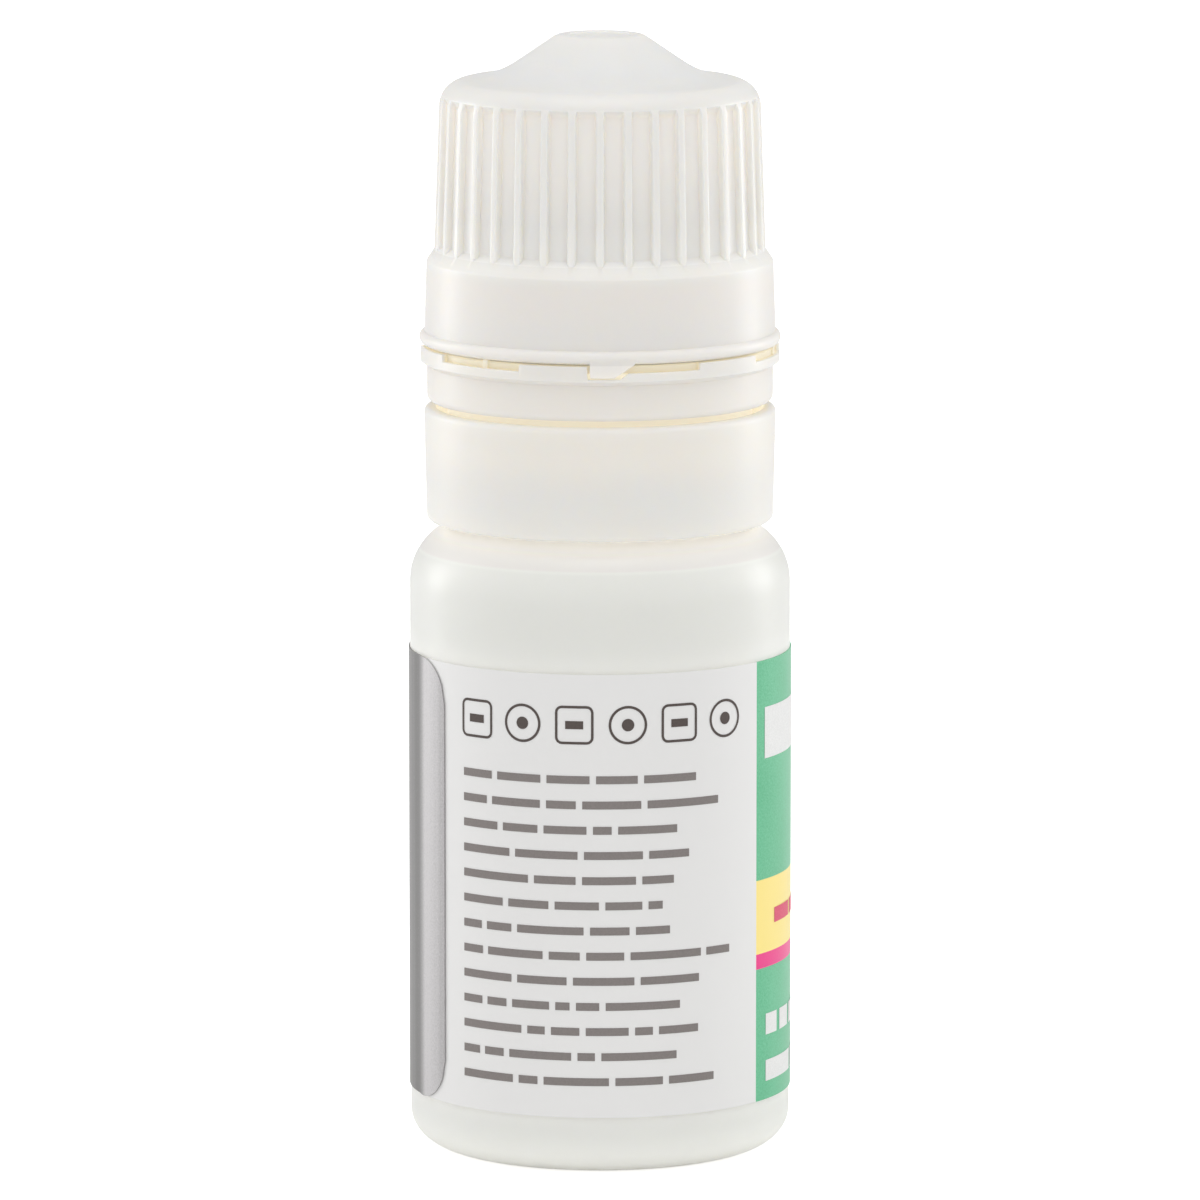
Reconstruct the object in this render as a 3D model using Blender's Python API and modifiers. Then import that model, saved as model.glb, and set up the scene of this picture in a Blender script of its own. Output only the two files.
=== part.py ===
"""Eye drop bottle with a squeeze bottle, a valved dropper nozzle, a tamper ring and a ribbed screw cap.

Units are metres, +Z is up, and the origin is the centre of the base. The front faces -Y. Angles round the
bottle are in degrees from the front, positive towards +X. Every turned piece is a profile of (radius, height)
points that runs down its outer side.
"""

import math

import bmesh
import bpy
from mathutils import Matrix, Vector

# Fits
SEAT_GAP = 0.00005
RUN_GAP = 0.00015
CUT_OVERRUN = 0.001

# Facets round each size of piece
WIDE_FACETS = 40
RIBBED_FACETS = 72
CAVITY_FACETS = 36
SMALL_FACETS = 24
HOLE_FACETS = 6
ARC_STEPS = 3
CURVE_STEPS = 5
COLUMN_STEP_ANGLE = 5.0
SHARP_ANGLE = 35.0

# Squeeze bottle
BOTTLE_RADIUS = 0.0125
BOTTLE_WALL = 0.0010
BODY_HEIGHT = 0.03755
HEEL_REACH = 0.0027
HEEL_RISE = 0.0023
FOOT_WIDTH = 0.0012
BASE_PUSH_UP = 0.0008
PUSH_UP_MIDDLE_SHARE = 0.75
SHOULDER_RISE = 0.0043
SHOULDER_FLAT = 0.0001
NECK_RADIUS = 0.0080
NECK_WALL = 0.0012
NECK_LENGTH = 0.00535
SNAP_BEAD_HEIGHT = 0.0024
SNAP_BEAD_REACH = 0.0005
SNAP_BEAD_THICKNESS = 0.0012

# Solution
FILL_HEIGHT = 0.0272

# Label
LABEL_FOOT = 0.0040
LABEL_HEIGHT = 0.0292
LABEL_THICKNESS = 0.00006
LABEL_GAP = 0.00003
LABEL_CORNER = 0.0028
LABEL_START_ANGLE = -64.0
LABEL_END_ANGLE = -53.2
LABEL_LAP_RUN = 6.0
LABEL_COLUMNS = 54

# Neck seal
SEAL_THICKNESS = 0.0007

# Inlet insert
INSERT_FLANGE = 0.0012
INSERT_TUBE_WALL = 0.0009
INSERT_TUBE_ROOM = 0.0001
INSERT_RIM_HEIGHT = 0.0017
INSERT_RIM_WALL = 0.0008
VENT_COUNT = 6
VENT_RADIUS = 0.0004

# Vent filter and its retainer
FILTER_THICKNESS = 0.00035
RETAINER_THICKNESS = 0.0009
RETAINER_WINDOW_RADIUS = 0.0010

# Dispenser housing
COLLAR_HEIGHT = 0.0075
COLLAR_WALL = 0.0009
COLLAR_TAPER = 0.00017
COLLAR_HEEL = 0.0009
COLLAR_LIP = 0.00045
COLLAR_OVERHANG = 0.00025
CORE_GAP = 0.0001
GROOVE_WIDTH = 0.00064
GROOVE_DEPTH = 0.0030
WEB_THICKNESS = 0.0010
CORE_WALL = 0.00135
CORE_BEAD_REACH = 0.0003
CORE_BEAD_THICKNESS = 0.0008
CORE_LEDGE = 0.0012
SNAP_RIDGE_REACH = 0.0003
THREAD_NECK_HEIGHT = 0.0080
THREAD_NECK_WALL = 0.0014
THREAD_DEPTH = 0.0005
NECK_CHAMFER = 0.0003
AIR_PORT_HEIGHT = 0.0012
AIR_PORT_RADIUS = 0.0004

# Spring carrier, spring and valve pin
CARRIER_FLOOR = 0.0009
CARRIER_WALL = 0.0008
SPRING_WIRE = 0.00045
SPRING_TURNS = 4
SPRING_POINTS_PER_TURN = 12
SPRING_INNER_ROOM_SHARE = 27 / 98
SPRING_OUTER_ROOM_SHARE = 20 / 49
PIN_SHAFT_RADIUS = 0.0010
PIN_BORE_RADIUS = 0.0005
PIN_PORT_RADIUS = 0.0003
PIN_PORT_HEIGHT = 0.0009
PIN_FLANGE_REACH = 0.0004
PIN_FLANGE_THICKNESS = 0.0008
PIN_GUIDE_LENGTH = 0.0016
PIN_STOP_ROOM = 0.0005
PIN_NOSE_RADIUS = 0.0005
PIN_NOSE_LENGTH = 0.0009
NOSE_GAP = 0.00015
VALVE_TRAVEL = 0.0005

# Diaphragm
DIAPHRAGM_THICKNESS = 0.0005
DIAPHRAGM_BEAD = 0.0004
DIAPHRAGM_BEAD_WIDTH = 0.0007

# Dropper nozzle
NOZZLE_FLANGE = 0.0008
NOZZLE_FLANGE_OVERLAP = 0.0006
NOZZLE_SKIRT = 0.0032
NOZZLE_SKIRT_WALL = 0.0008
NOZZLE_HEIGHT = 0.0101
NOZZLE_BASE_RADIUS = 0.0062
NOZZLE_TIP_RADIUS = 0.0021
NOZZLE_TIP_ROUND = 0.0005
NOZZLE_FLARE = 2.4
NOZZLE_BORE_ROOM = 0.0005
ORIFICE_RADIUS = 0.0006
ORIFICE_LENGTH = 0.0005
TIP_DISH = 0.0003

# Tamper ring
RING_LIFT = 0.00036
RING_HEIGHT = 0.0036
RING_WALL = 0.0009
RING_HEEL = 0.0005
RING_BEAD_REACH = 0.0002
RING_BEAD_THICKNESS = 0.0007
FLANGE_REACH = 0.00042
FLANGE_DEPTH = 0.00055
FLANGE_TAPER = 0.0006
MERLON_COUNT = 6
MERLON_START_ANGLE = 33.5
MERLON_END_ANGLE = 59.3
MERLON_HEIGHT = 0.00045
NOTCH_DEPTH = 0.00040
NOTCH_LIP = 0.00003
NOTCH_START_ANGLE = -4.0
NOTCH_FLOOR_END_ANGLE = 6.4
NOTCH_RAMP_END_ANGLE = 9.2
TOOTH_COUNT = 3
BRIDGE_ANGLE = -40.9
BRIDGE_SPAN = 1.6
BRIDGE_DEPTH = 0.0002

# Screw cap
CAP_LIFT = 0.0002
CAP_BEAD_REACH = 0.00034
CAP_BEAD_HEIGHT = 0.00088
SKIRT_STEP = 0.00016
SKIRT_HEIGHT = 0.0053
SKIRT_BORE_HEIGHT = 0.0022
SKIRT_EDGE = 0.0003
SKIRT_SLOPE_RISE = 0.00115
KNURL_DRAFT = 0.00033
RIB_COUNT = 36
RIB_ROOT_WIDTH = 0.00066
RIB_CREST_WIDTH = 0.00042
FLUTE_DEPTH = 0.0004
FLUTE_FOOT_RISE = 0.00038
CAP_WALL = 0.00067
CAP_SHOULDER = 0.00175
CAP_SHOULDER_SWEEP = 78.0
DOME_RISE = 0.0030
DOME_TOP_RADIUS = 0.0026
DOME_FLARE = 1.35
DIMPLE_RADIUS = 0.0020
DIMPLE_DEPTH = 0.0003
RIM_DROP_SHARE = 0.17
CROWN_WALL = 0.0011
PLUG_WALL = 0.0006
PLUG_FILLET = 0.0003
PLUG_DEPTH = 0.0007
TOOTH_HEIGHT = 0.00087
TOOTH_ROOT = 0.00025
TOOTH_SET_BACK = 0.00004
TOOTH_START_ANGLE = -3.2
TOOTH_FLOOR_END_ANGLE = 4.6
TOOTH_RAMP_END_ANGLE = 11.0

# Cap seal
CAP_SEAL_THICKNESS = 0.0008
CAP_SEAL_RADIUS = 0.0028
CAP_SEAL_EDGE = 0.0002

# Radii that follow from the bottle's neck, from the inside out
neck_bore = NECK_RADIUS - NECK_WALL
tube_radius = PIN_SHAFT_RADIUS + INSERT_TUBE_ROOM + INSERT_TUBE_WALL
socket_radius = NECK_RADIUS + SNAP_BEAD_REACH + RUN_GAP
core_radius = socket_radius + CORE_WALL
collar_bore = core_radius + GROOVE_WIDTH
collar_radius = collar_bore + COLLAR_WALL
thread_root = core_radius - CORE_LEDGE
chamber_radius = thread_root - THREAD_NECK_WALL
nozzle_skirt_radius = chamber_radius - SEAT_GAP
nozzle_skirt_bore = nozzle_skirt_radius - NOZZLE_SKIRT_WALL
gripped_width = CARRIER_WALL + RUN_GAP + DIAPHRAGM_BEAD_WIDTH
spring_room = nozzle_skirt_bore - gripped_width - tube_radius - SPRING_WIRE
spring_radius = tube_radius + SPRING_INNER_ROOM_SHARE * spring_room + SPRING_WIRE / 2
carrier_bore = spring_radius + SPRING_WIRE / 2 + SPRING_OUTER_ROOM_SHARE * spring_room
ring_bore = core_radius + CORE_BEAD_REACH + RUN_GAP
ring_radius = ring_bore + RING_WALL
flange_radius = ring_radius + FLANGE_REACH
skirt_radius = ring_radius + SKIRT_STEP
cap_bead_radius = skirt_radius + CAP_BEAD_REACH
thread_bore = thread_root + THREAD_DEPTH + RUN_GAP
knurl_top_radius = thread_bore + CAP_WALL + FLUTE_DEPTH
knurl_foot_radius = knurl_top_radius + KNURL_DRAFT

# Heights that follow from the bottle's mouth, from the bottom up
shoulder_top = BODY_HEIGHT + SHOULDER_RISE
mouth = shoulder_top + NECK_LENGTH
seal_top = mouth + SEAT_GAP + SEAL_THICKNESS
insert_foot = seal_top + SEAT_GAP
insert_deck = insert_foot + INSERT_FLANGE
insert_rim_top = insert_deck + INSERT_RIM_HEIGHT
collar_foot = shoulder_top - COLLAR_OVERHANG
core_foot = shoulder_top + CORE_GAP
collar_top = collar_foot + COLLAR_HEIGHT
ring_foot = collar_top + RING_LIFT
ring_top = ring_foot + RING_HEIGHT
core_top = ring_top
cap_foot = ring_top + CAP_LIFT
neck_top = core_top + THREAD_NECK_HEIGHT
nozzle_foot = neck_top + SEAT_GAP
nozzle_tip = nozzle_foot + NOZZLE_HEIGHT
cap_ceiling = nozzle_tip + SEAT_GAP + CAP_SEAL_THICKNESS + SEAT_GAP
cap_top = cap_ceiling + CROWN_WALL + DIMPLE_DEPTH
dome_foot = cap_top - DOME_RISE
shoulder_foot = dome_foot - CAP_SHOULDER * math.sin(math.radians(CAP_SHOULDER_SWEEP))
slope_top = cap_foot + SKIRT_HEIGHT + SKIRT_SLOPE_RISE
diaphragm_foot = nozzle_foot - SEAT_GAP - DIAPHRAGM_THICKNESS
pin_flange_foot = diaphragm_foot - RUN_GAP - PIN_FLANGE_THICKNESS
spring_floor = insert_rim_top + SEAT_GAP + CARRIER_FLOOR
tube_top = pin_flange_foot - VALVE_TRAVEL - PIN_STOP_ROOM


def material(name, colour, roughness, metallic=0.0):
    """A Principled finish of one colour."""
    made = bpy.data.materials.new(name)
    made.use_nodes = True
    shader = made.node_tree.nodes["Principled BSDF"]
    shader.inputs["Base Color"].default_value = (*colour, 1.0)
    shader.inputs["Roughness"].default_value = roughness
    shader.inputs["Metallic"].default_value = metallic
    return made


def collection(name):
    made = bpy.data.collections.new(name)
    bpy.context.scene.collection.children.link(made)
    return made


def arc(centre, reach, rise, start, end, steps=ARC_STEPS):
    """Points of an elliptical arc in the profile's plane, from one angle to another in degrees."""
    points = []
    for step in range(steps + 1):
        angle = math.radians(start + (end - start) * step / steps)
        points.append((centre[0] + reach * math.cos(angle), centre[1] + rise * math.sin(angle)))
    return points


def add_object(name, mesh, finish, group):
    made = bpy.data.objects.new(name, mesh)
    if finish:
        made.data.materials.append(finish)
    group.objects.link(made)
    return made


def turned(name, profile, finish, group, facets=SMALL_FACETS, closed=True):
    """A solid of revolution. A profile that ends on the axis isn't closed."""
    mesh = bpy.data.meshes.new(name)
    edges = [(index, index + 1) for index in range(len(profile) - 1)]
    if closed:
        edges.append((len(profile) - 1, 0))
    mesh.from_pydata([(radius, 0.0, height) for radius, height in profile], edges, [])
    made = add_object(name, mesh, finish, group)
    screw = made.modifiers.new("Turn", "SCREW")
    screw.axis = "Z"
    screw.angle = math.tau
    screw.steps = screw.render_steps = facets
    screw.use_merge_vertices = True
    screw.merge_threshold = SEAT_GAP / 10
    screw.use_smooth_shade = True
    return made


def wrapped_plate(name, columns, thickness, group, finish=None):
    """A plate bent round the bottle: columns of (angle, inner radius, low, high), thickened outwards."""
    mesh = bpy.data.meshes.new(name)
    shape = bmesh.new()
    bmesh.ops.create_grid(shape, x_segments=len(columns) - 1, y_segments=1, size=thickness)
    shape.verts.ensure_lookup_table()
    for index, (angle, radius, low, high) in enumerate(columns):
        turn = math.radians(angle)
        for row, height in enumerate((low, high)):
            corner = shape.verts[row * len(columns) + index]
            corner.co = (radius * math.sin(turn), -radius * math.cos(turn), height)
    shape.to_mesh(mesh)
    shape.free()
    made = add_object(name, mesh, finish, group)
    solidify = made.modifiers.new("Thickness", "SOLIDIFY")
    solidify.thickness = thickness
    solidify.offset = 1.0
    return made


def boolean(target, tool, operation):
    step = target.modifiers.new(operation.title(), "BOOLEAN")
    step.operation = operation
    step.object = tool
    tool.hide_render = True
    tool.display_type = "WIRE"


def settle(made):
    """Turns the modifiers' result into the object's own mesh, smooth but for its real edges."""
    graph = bpy.context.evaluated_depsgraph_get()
    mesh = bpy.data.meshes.new_from_object(made.evaluated_get(graph))
    made.modifiers.clear()
    made.data = mesh
    mesh.shade_smooth()
    mesh.set_sharp_from_angle(angle=math.radians(SHARP_ANGLE))
    return made


def drill(target, places, hole_radius, length, cutters):
    """Cuts a round hole through a piece at each place, along that place's own Z."""
    mesh = bpy.data.meshes.new(target.name + "_drill")
    shape = bmesh.new()
    for place in places:
        bmesh.ops.create_cone(shape, cap_ends=True, segments=HOLE_FACETS, radius1=hole_radius,
                              radius2=hole_radius, depth=length, matrix=place)
    shape.to_mesh(mesh)
    shape.free()
    boolean(target, add_object(mesh.name, mesh, None, cutters), "DIFFERENCE")


def ring_of_places(count, pitch_radius, height):
    """Upright places round the axis."""
    first = Matrix.Translation((pitch_radius, 0.0, height))
    return [Matrix.Rotation(math.tau * index / count, 4, "Z") @ first for index in range(count)]


def across_place(height):
    """A place on the axis that lies along Y."""
    return Matrix.Translation((0.0, 0.0, height)) @ Matrix.Rotation(math.radians(90.0), 4, "X")


def bottle_inside(gap):
    """The bottle's inner wall from the floor's centre up to the shoulder, drawn in by a gap."""
    radius = BOTTLE_RADIUS - BOTTLE_WALL - gap
    floor = BOTTLE_WALL + gap
    heel_reach = HEEL_REACH - BOTTLE_WALL
    heel_rise = HEEL_RISE - BOTTLE_WALL
    foot_radius = BOTTLE_RADIUS - HEEL_REACH - FOOT_WIDTH
    middle_rise = BASE_PUSH_UP * PUSH_UP_MIDDLE_SHARE
    points = [(0.0, floor + BASE_PUSH_UP), (foot_radius / 2, floor + middle_rise), (foot_radius, floor)]
    heel_middle = (radius - heel_reach, floor + heel_rise)
    return points + arc(heel_middle, heel_reach, heel_rise, -90.0, 0.0, ARC_STEPS - 1)


def make_bottle(finish, group):
    shoulder_reach = BOTTLE_RADIUS - NECK_RADIUS - SHOULDER_FLAT
    shoulder_radius = BOTTLE_RADIUS - shoulder_reach
    inner_top = shoulder_top - BOTTLE_WALL
    inner_reach = shoulder_reach - BOTTLE_WALL
    bead_middle = shoulder_top + SNAP_BEAD_HEIGHT
    foot_radius = BOTTLE_RADIUS - HEEL_REACH - FOOT_WIDTH
    profile = bottle_inside(0.0)
    profile += arc((shoulder_radius, BODY_HEIGHT), inner_reach, inner_top - BODY_HEIGHT, 0.0, 90.0)
    profile += [(neck_bore, inner_top), (neck_bore, mouth), (NECK_RADIUS, mouth)]
    profile += [(NECK_RADIUS, bead_middle + SNAP_BEAD_THICKNESS / 2),
                (NECK_RADIUS + SNAP_BEAD_REACH, bead_middle),
                (NECK_RADIUS, bead_middle - SNAP_BEAD_THICKNESS / 2), (NECK_RADIUS, shoulder_top)]
    profile += arc((shoulder_radius, BODY_HEIGHT), shoulder_reach, SHOULDER_RISE, 90.0, 0.0, CURVE_STEPS)
    profile += arc((BOTTLE_RADIUS - HEEL_REACH, HEEL_RISE), HEEL_REACH, HEEL_RISE, 0.0, -90.0, ARC_STEPS + 1)
    middle_rise = BASE_PUSH_UP * PUSH_UP_MIDDLE_SHARE
    profile += [(foot_radius, 0.0), (foot_radius / 2, middle_rise), (0.0, BASE_PUSH_UP)]
    return settle(turned("bottle", profile, finish, group, WIDE_FACETS, closed=False))


def make_solution(finish, group):
    radius = BOTTLE_RADIUS - BOTTLE_WALL - SEAT_GAP
    profile = [(0.0, FILL_HEIGHT), (radius, FILL_HEIGHT)] + bottle_inside(SEAT_GAP)[::-1]
    return settle(turned("solution", profile, finish, group, SMALL_FACETS, closed=False))


def make_label(finish, group):
    """One strip wrapped once round the body, whose round-cornered end laps over its start."""
    inner = BOTTLE_RADIUS + LABEL_GAP
    lapped = inner + LABEL_THICKNESS + LABEL_GAP
    end = LABEL_END_ANGLE + 360.0
    lap_start = LABEL_START_ANGLE + 360.0 - LABEL_LAP_RUN
    corner_turn = math.degrees(LABEL_CORNER / inner)
    turns = [LABEL_START_ANGLE + (end - corner_turn - LABEL_START_ANGLE) * step / LABEL_COLUMNS
             for step in range(LABEL_COLUMNS)]
    turns += [end - corner_turn * math.cos(math.radians(90.0 * step / ARC_STEPS))
              for step in range(ARC_STEPS + 1)]
    columns = []
    for turn in turns:
        raised = min(1.0, max(0.0, (turn - lap_start) / (LABEL_LAP_RUN / 2)))
        into_corner = max(0.0, math.radians(turn - end + corner_turn) * inner)
        trim = LABEL_CORNER - math.sqrt(max(0.0, LABEL_CORNER**2 - into_corner**2))
        radius = inner + (lapped - inner) * raised
        columns.append((turn, radius, LABEL_FOOT + trim, LABEL_FOOT + LABEL_HEIGHT - trim))
    return settle(wrapped_plate("label", columns, LABEL_THICKNESS, group, finish))


def make_neck_seal(finish, group):
    low = mouth + SEAT_GAP
    profile = [(neck_bore, seal_top), (NECK_RADIUS, seal_top), (NECK_RADIUS, low), (neck_bore, low)]
    return settle(turned("neck_seal", profile, finish, group))


def make_inlet_insert(finish, group, cutters):
    """Flanged plug that clamps the seal, carries the filter and leads the liquid up its middle tube."""
    flange_edge = socket_radius - RUN_GAP
    rim_radius = chamber_radius - RUN_GAP
    rim_bore = rim_radius - INSERT_RIM_WALL
    tube_bore = tube_radius - INSERT_TUBE_WALL
    profile = [(tube_bore, tube_top), (tube_radius, tube_top), (tube_radius, insert_deck),
               (rim_bore, insert_deck), (rim_bore, insert_rim_top), (rim_radius, insert_rim_top),
               (rim_radius, insert_deck), (flange_edge, insert_deck), (flange_edge, insert_foot),
               (tube_bore, insert_foot)]
    made = turned("inlet_insert", profile, finish, group)
    middle = (insert_foot + insert_deck) / 2
    vents = ring_of_places(VENT_COUNT, (tube_radius + rim_bore) / 2, middle)
    drill(made, vents, VENT_RADIUS, INSERT_FLANGE + CUT_OVERRUN, cutters)
    return settle(made)


def filter_pocket():
    """Inner and outer radius of the ring-shaped pocket round the insert's tube."""
    return tube_radius + RUN_GAP, chamber_radius - RUN_GAP - INSERT_RIM_WALL - RUN_GAP


def make_vent_filter(finish, group):
    inner, outer = filter_pocket()
    low = insert_deck + SEAT_GAP
    high = low + FILTER_THICKNESS
    profile = [(inner, high), (outer, high), (outer, low), (inner, low)]
    return settle(turned("vent_filter", profile, finish, group))


def make_filter_retainer(finish, group, cutters):
    inner, outer = filter_pocket()
    low = insert_deck + SEAT_GAP + FILTER_THICKNESS + SEAT_GAP
    high = low + RETAINER_THICKNESS
    profile = [(inner, high), (outer, high), (outer, low), (inner, low)]
    made = turned("filter_retainer", profile, finish, group)
    windows = ring_of_places(VENT_COUNT, (inner + outer) / 2, (low + high) / 2)
    drill(made, windows, RETAINER_WINDOW_RADIUS, RETAINER_THICKNESS + CUT_OVERRUN, cutters)
    return settle(made)


def make_housing(finish, group, cutters):
    """Snap-on collar, ring seat and threaded neck in one moulding."""
    ledge = insert_deck + SEAT_GAP
    groove_floor = collar_top - GROOVE_DEPTH
    web_foot = groove_floor - WEB_THICKNESS
    ridge_middle = shoulder_top + SNAP_BEAD_HEIGHT - SNAP_BEAD_THICKNESS
    ridge_half = SNAP_BEAD_THICKNESS / 2
    bead_middle = ring_foot + RING_BEAD_THICKNESS + RUN_GAP + CORE_BEAD_THICKNESS
    foot_radius = collar_radius - COLLAR_TAPER
    foot_bore = collar_bore - COLLAR_TAPER
    lip = COLLAR_LIP
    profile = [(chamber_radius, neck_top), (thread_root - NECK_CHAMFER, neck_top),
               (thread_root, neck_top - NECK_CHAMFER), (thread_root, core_top)]
    profile += [(core_radius - NECK_CHAMFER, core_top), (core_radius, core_top - NECK_CHAMFER),
                (core_radius, bead_middle + CORE_BEAD_THICKNESS / 2),
                (core_radius + CORE_BEAD_REACH, bead_middle),
                (core_radius, bead_middle - CORE_BEAD_THICKNESS / 2), (core_radius, groove_floor)]
    profile += [(collar_bore, groove_floor), (collar_bore, collar_top - lip / 2)]
    profile += [(collar_bore + lip / 2, collar_top)]
    profile += arc((collar_radius - lip, collar_top - lip), lip, lip, 90.0, 0.0)
    heel_middle = (foot_radius - COLLAR_HEEL, collar_foot + COLLAR_HEEL)
    profile += arc(heel_middle, COLLAR_HEEL, COLLAR_HEEL, 0.0, -80.0)
    profile += [(foot_bore, collar_foot + COLLAR_HEEL), (foot_bore, web_foot), (core_radius, web_foot),
                (core_radius, core_foot), (socket_radius, core_foot)]
    profile += [(socket_radius, ridge_middle - ridge_half), (socket_radius - SNAP_RIDGE_REACH, ridge_middle),
                (socket_radius, ridge_middle + ridge_half)]
    profile += [(socket_radius, ledge), (chamber_radius, ledge)]
    made = turned("dispenser_housing", profile, finish, group, WIDE_FACETS)
    drill(made, [across_place(core_top + AIR_PORT_HEIGHT)], AIR_PORT_RADIUS, 2 * core_radius, cutters)
    return settle(made)


def make_spring_carrier(finish, group, cutters):
    """Cup whose floor seats the spring and whose rim holds the diaphragm up to the nozzle."""
    low = insert_rim_top + SEAT_GAP
    rim = diaphragm_foot - SEAT_GAP
    cup = carrier_bore + CARRIER_WALL
    base = chamber_radius - RUN_GAP
    hole = tube_radius + RUN_GAP
    profile = [(carrier_bore, rim), (cup, rim), (cup, spring_floor), (base, spring_floor), (base, low),
               (hole, low), (hole, spring_floor), (carrier_bore, spring_floor)]
    made = turned("spring_carrier", profile, finish, group)
    slots = ring_of_places(VENT_COUNT, (cup + base) / 2, (low + spring_floor) / 2)
    drill(made, slots, VENT_RADIUS, CARRIER_FLOOR + CUT_OVERRUN, cutters)
    return settle(made)


def make_valve_spring(finish, group):
    """Closing spring: an unbroken wire wound between the carrier's floor and the pin's flange."""
    low = spring_floor + SEAT_GAP + SPRING_WIRE / 2
    high = pin_flange_foot - SEAT_GAP - SPRING_WIRE / 2
    count = SPRING_TURNS * SPRING_POINTS_PER_TURN
    middles = []
    for index in range(count + 1):
        turn = math.tau * index / SPRING_POINTS_PER_TURN
        middles.append(Vector((spring_radius * math.cos(turn), spring_radius * math.sin(turn),
                               low + (high - low) * index / count)))
    apart = SPRING_POINTS_PER_TURN // 2
    least = min((one - other).length
                for index, one in enumerate(middles) for other in middles[index + apart:])
    print(f"valve_spring least gap between turns {(least - SPRING_WIRE) * 1000:.2f} mm")
    curve = bpy.data.curves.new("valve_spring", "CURVE")
    curve.dimensions = "3D"
    curve.bevel_depth = SPRING_WIRE / 2
    curve.bevel_resolution = 1
    curve.use_fill_caps = True
    wire = curve.splines.new("POLY")
    wire.points.add(count)
    for point, middle in zip(wire.points, middles):
        point.co = (*middle, 1.0)
    made = bpy.data.objects.new("valve_spring", curve)
    curve.materials.append(finish)
    group.objects.link(made)
    return made


def valve_seat():
    """Height at which the bore's wall turns in to the orifice, and the length of that cone."""
    orifice_foot = nozzle_tip - TIP_DISH - ORIFICE_LENGTH
    bore = PIN_SHAFT_RADIUS + NOZZLE_BORE_ROOM
    cone = (bore - ORIFICE_RADIUS) * PIN_NOSE_LENGTH / (PIN_SHAFT_RADIUS - PIN_NOSE_RADIUS)
    return orifice_foot - cone, cone


def make_valve_pin(finish, group, cutters):
    """Hollow pin: its foot slides in the inlet tube, and its nose shuts the orifice from inside."""
    flange_top = pin_flange_foot + PIN_FLANGE_THICKNESS
    flange_edge = spring_radius + SPRING_WIRE / 2 + PIN_FLANGE_REACH
    cone_foot, _ = valve_seat()
    slope = PIN_NOSE_LENGTH / (PIN_SHAFT_RADIUS - PIN_NOSE_RADIUS)
    nose_foot = cone_foot + NOZZLE_BORE_ROOM * slope - NOSE_GAP
    nose_top = nose_foot + PIN_NOSE_LENGTH
    guide_foot = tube_top - PIN_GUIDE_LENGTH
    port = nozzle_foot + PIN_PORT_HEIGHT
    bore_top = port + 2 * PIN_PORT_RADIUS
    profile = [(0.0, nose_top), (PIN_NOSE_RADIUS, nose_top), (PIN_SHAFT_RADIUS, nose_foot),
               (PIN_SHAFT_RADIUS, flange_top), (flange_edge, flange_top), (flange_edge, pin_flange_foot),
               (PIN_SHAFT_RADIUS, pin_flange_foot), (PIN_SHAFT_RADIUS, guide_foot),
               (PIN_BORE_RADIUS, guide_foot), (PIN_BORE_RADIUS, bore_top), (0.0, bore_top)]
    made = turned("valve_pin", profile, finish, group, closed=False)
    drill(made, [across_place(port)], PIN_PORT_RADIUS, 4 * PIN_SHAFT_RADIUS, cutters)
    return settle(made)


def make_diaphragm(finish, group):
    """Elastic ring round the pin's shaft, with a bead that the nozzle and the carrier grip."""
    high = diaphragm_foot + DIAPHRAGM_THICKNESS
    inner = PIN_SHAFT_RADIUS + SEAT_GAP
    bead_bore = carrier_bore + CARRIER_WALL + RUN_GAP
    edge = bead_bore + DIAPHRAGM_BEAD_WIDTH
    bead_foot = diaphragm_foot - DIAPHRAGM_BEAD
    profile = [(inner, high), (edge, high), (edge, bead_foot), (bead_bore, bead_foot),
               (bead_bore, diaphragm_foot), (inner, diaphragm_foot)]
    return settle(turned("valve_diaphragm", profile, finish, group))


def make_nozzle(finish, group):
    """Dropper cone with a dished tip, a bore for the pin and a skirt pressed into the housing's neck."""
    flange_edge = chamber_radius + NOZZLE_FLANGE_OVERLAP
    flange_top = nozzle_foot + NOZZLE_FLANGE
    skirt_foot = nozzle_foot - NOZZLE_SKIRT
    shaft_bore = PIN_SHAFT_RADIUS + NOZZLE_BORE_ROOM
    cone_foot, cone = valve_seat()
    tip_round_foot = nozzle_tip - NOZZLE_TIP_ROUND
    dish_radius = NOZZLE_TIP_RADIUS - NOZZLE_TIP_ROUND
    profile = [(ORIFICE_RADIUS, nozzle_tip - TIP_DISH), (dish_radius, nozzle_tip)]
    profile += arc((dish_radius, tip_round_foot), NOZZLE_TIP_ROUND, NOZZLE_TIP_ROUND, 75.0, 0.0)
    for step in range(1, CURVE_STEPS + 1):
        share = step / CURVE_STEPS
        radius = NOZZLE_TIP_RADIUS + (NOZZLE_BASE_RADIUS - NOZZLE_TIP_RADIUS) * share**NOZZLE_FLARE
        profile.append((radius, tip_round_foot + (flange_top - tip_round_foot) * share))
    profile += [(flange_edge, flange_top), (flange_edge, nozzle_foot), (nozzle_skirt_radius, nozzle_foot),
                (nozzle_skirt_radius, skirt_foot), (nozzle_skirt_bore, skirt_foot),
                (nozzle_skirt_bore, nozzle_foot), (shaft_bore, nozzle_foot), (shaft_bore, cone_foot),
                (ORIFICE_RADIUS, cone_foot + cone)]
    return settle(turned("dropper_nozzle", profile, finish, group))


def notch_levels():
    """Heights of the merlons' feet and of the deeper notch under each tooth."""
    low_edge = ring_top - MERLON_HEIGHT
    return low_edge, low_edge - NOTCH_DEPTH


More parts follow.
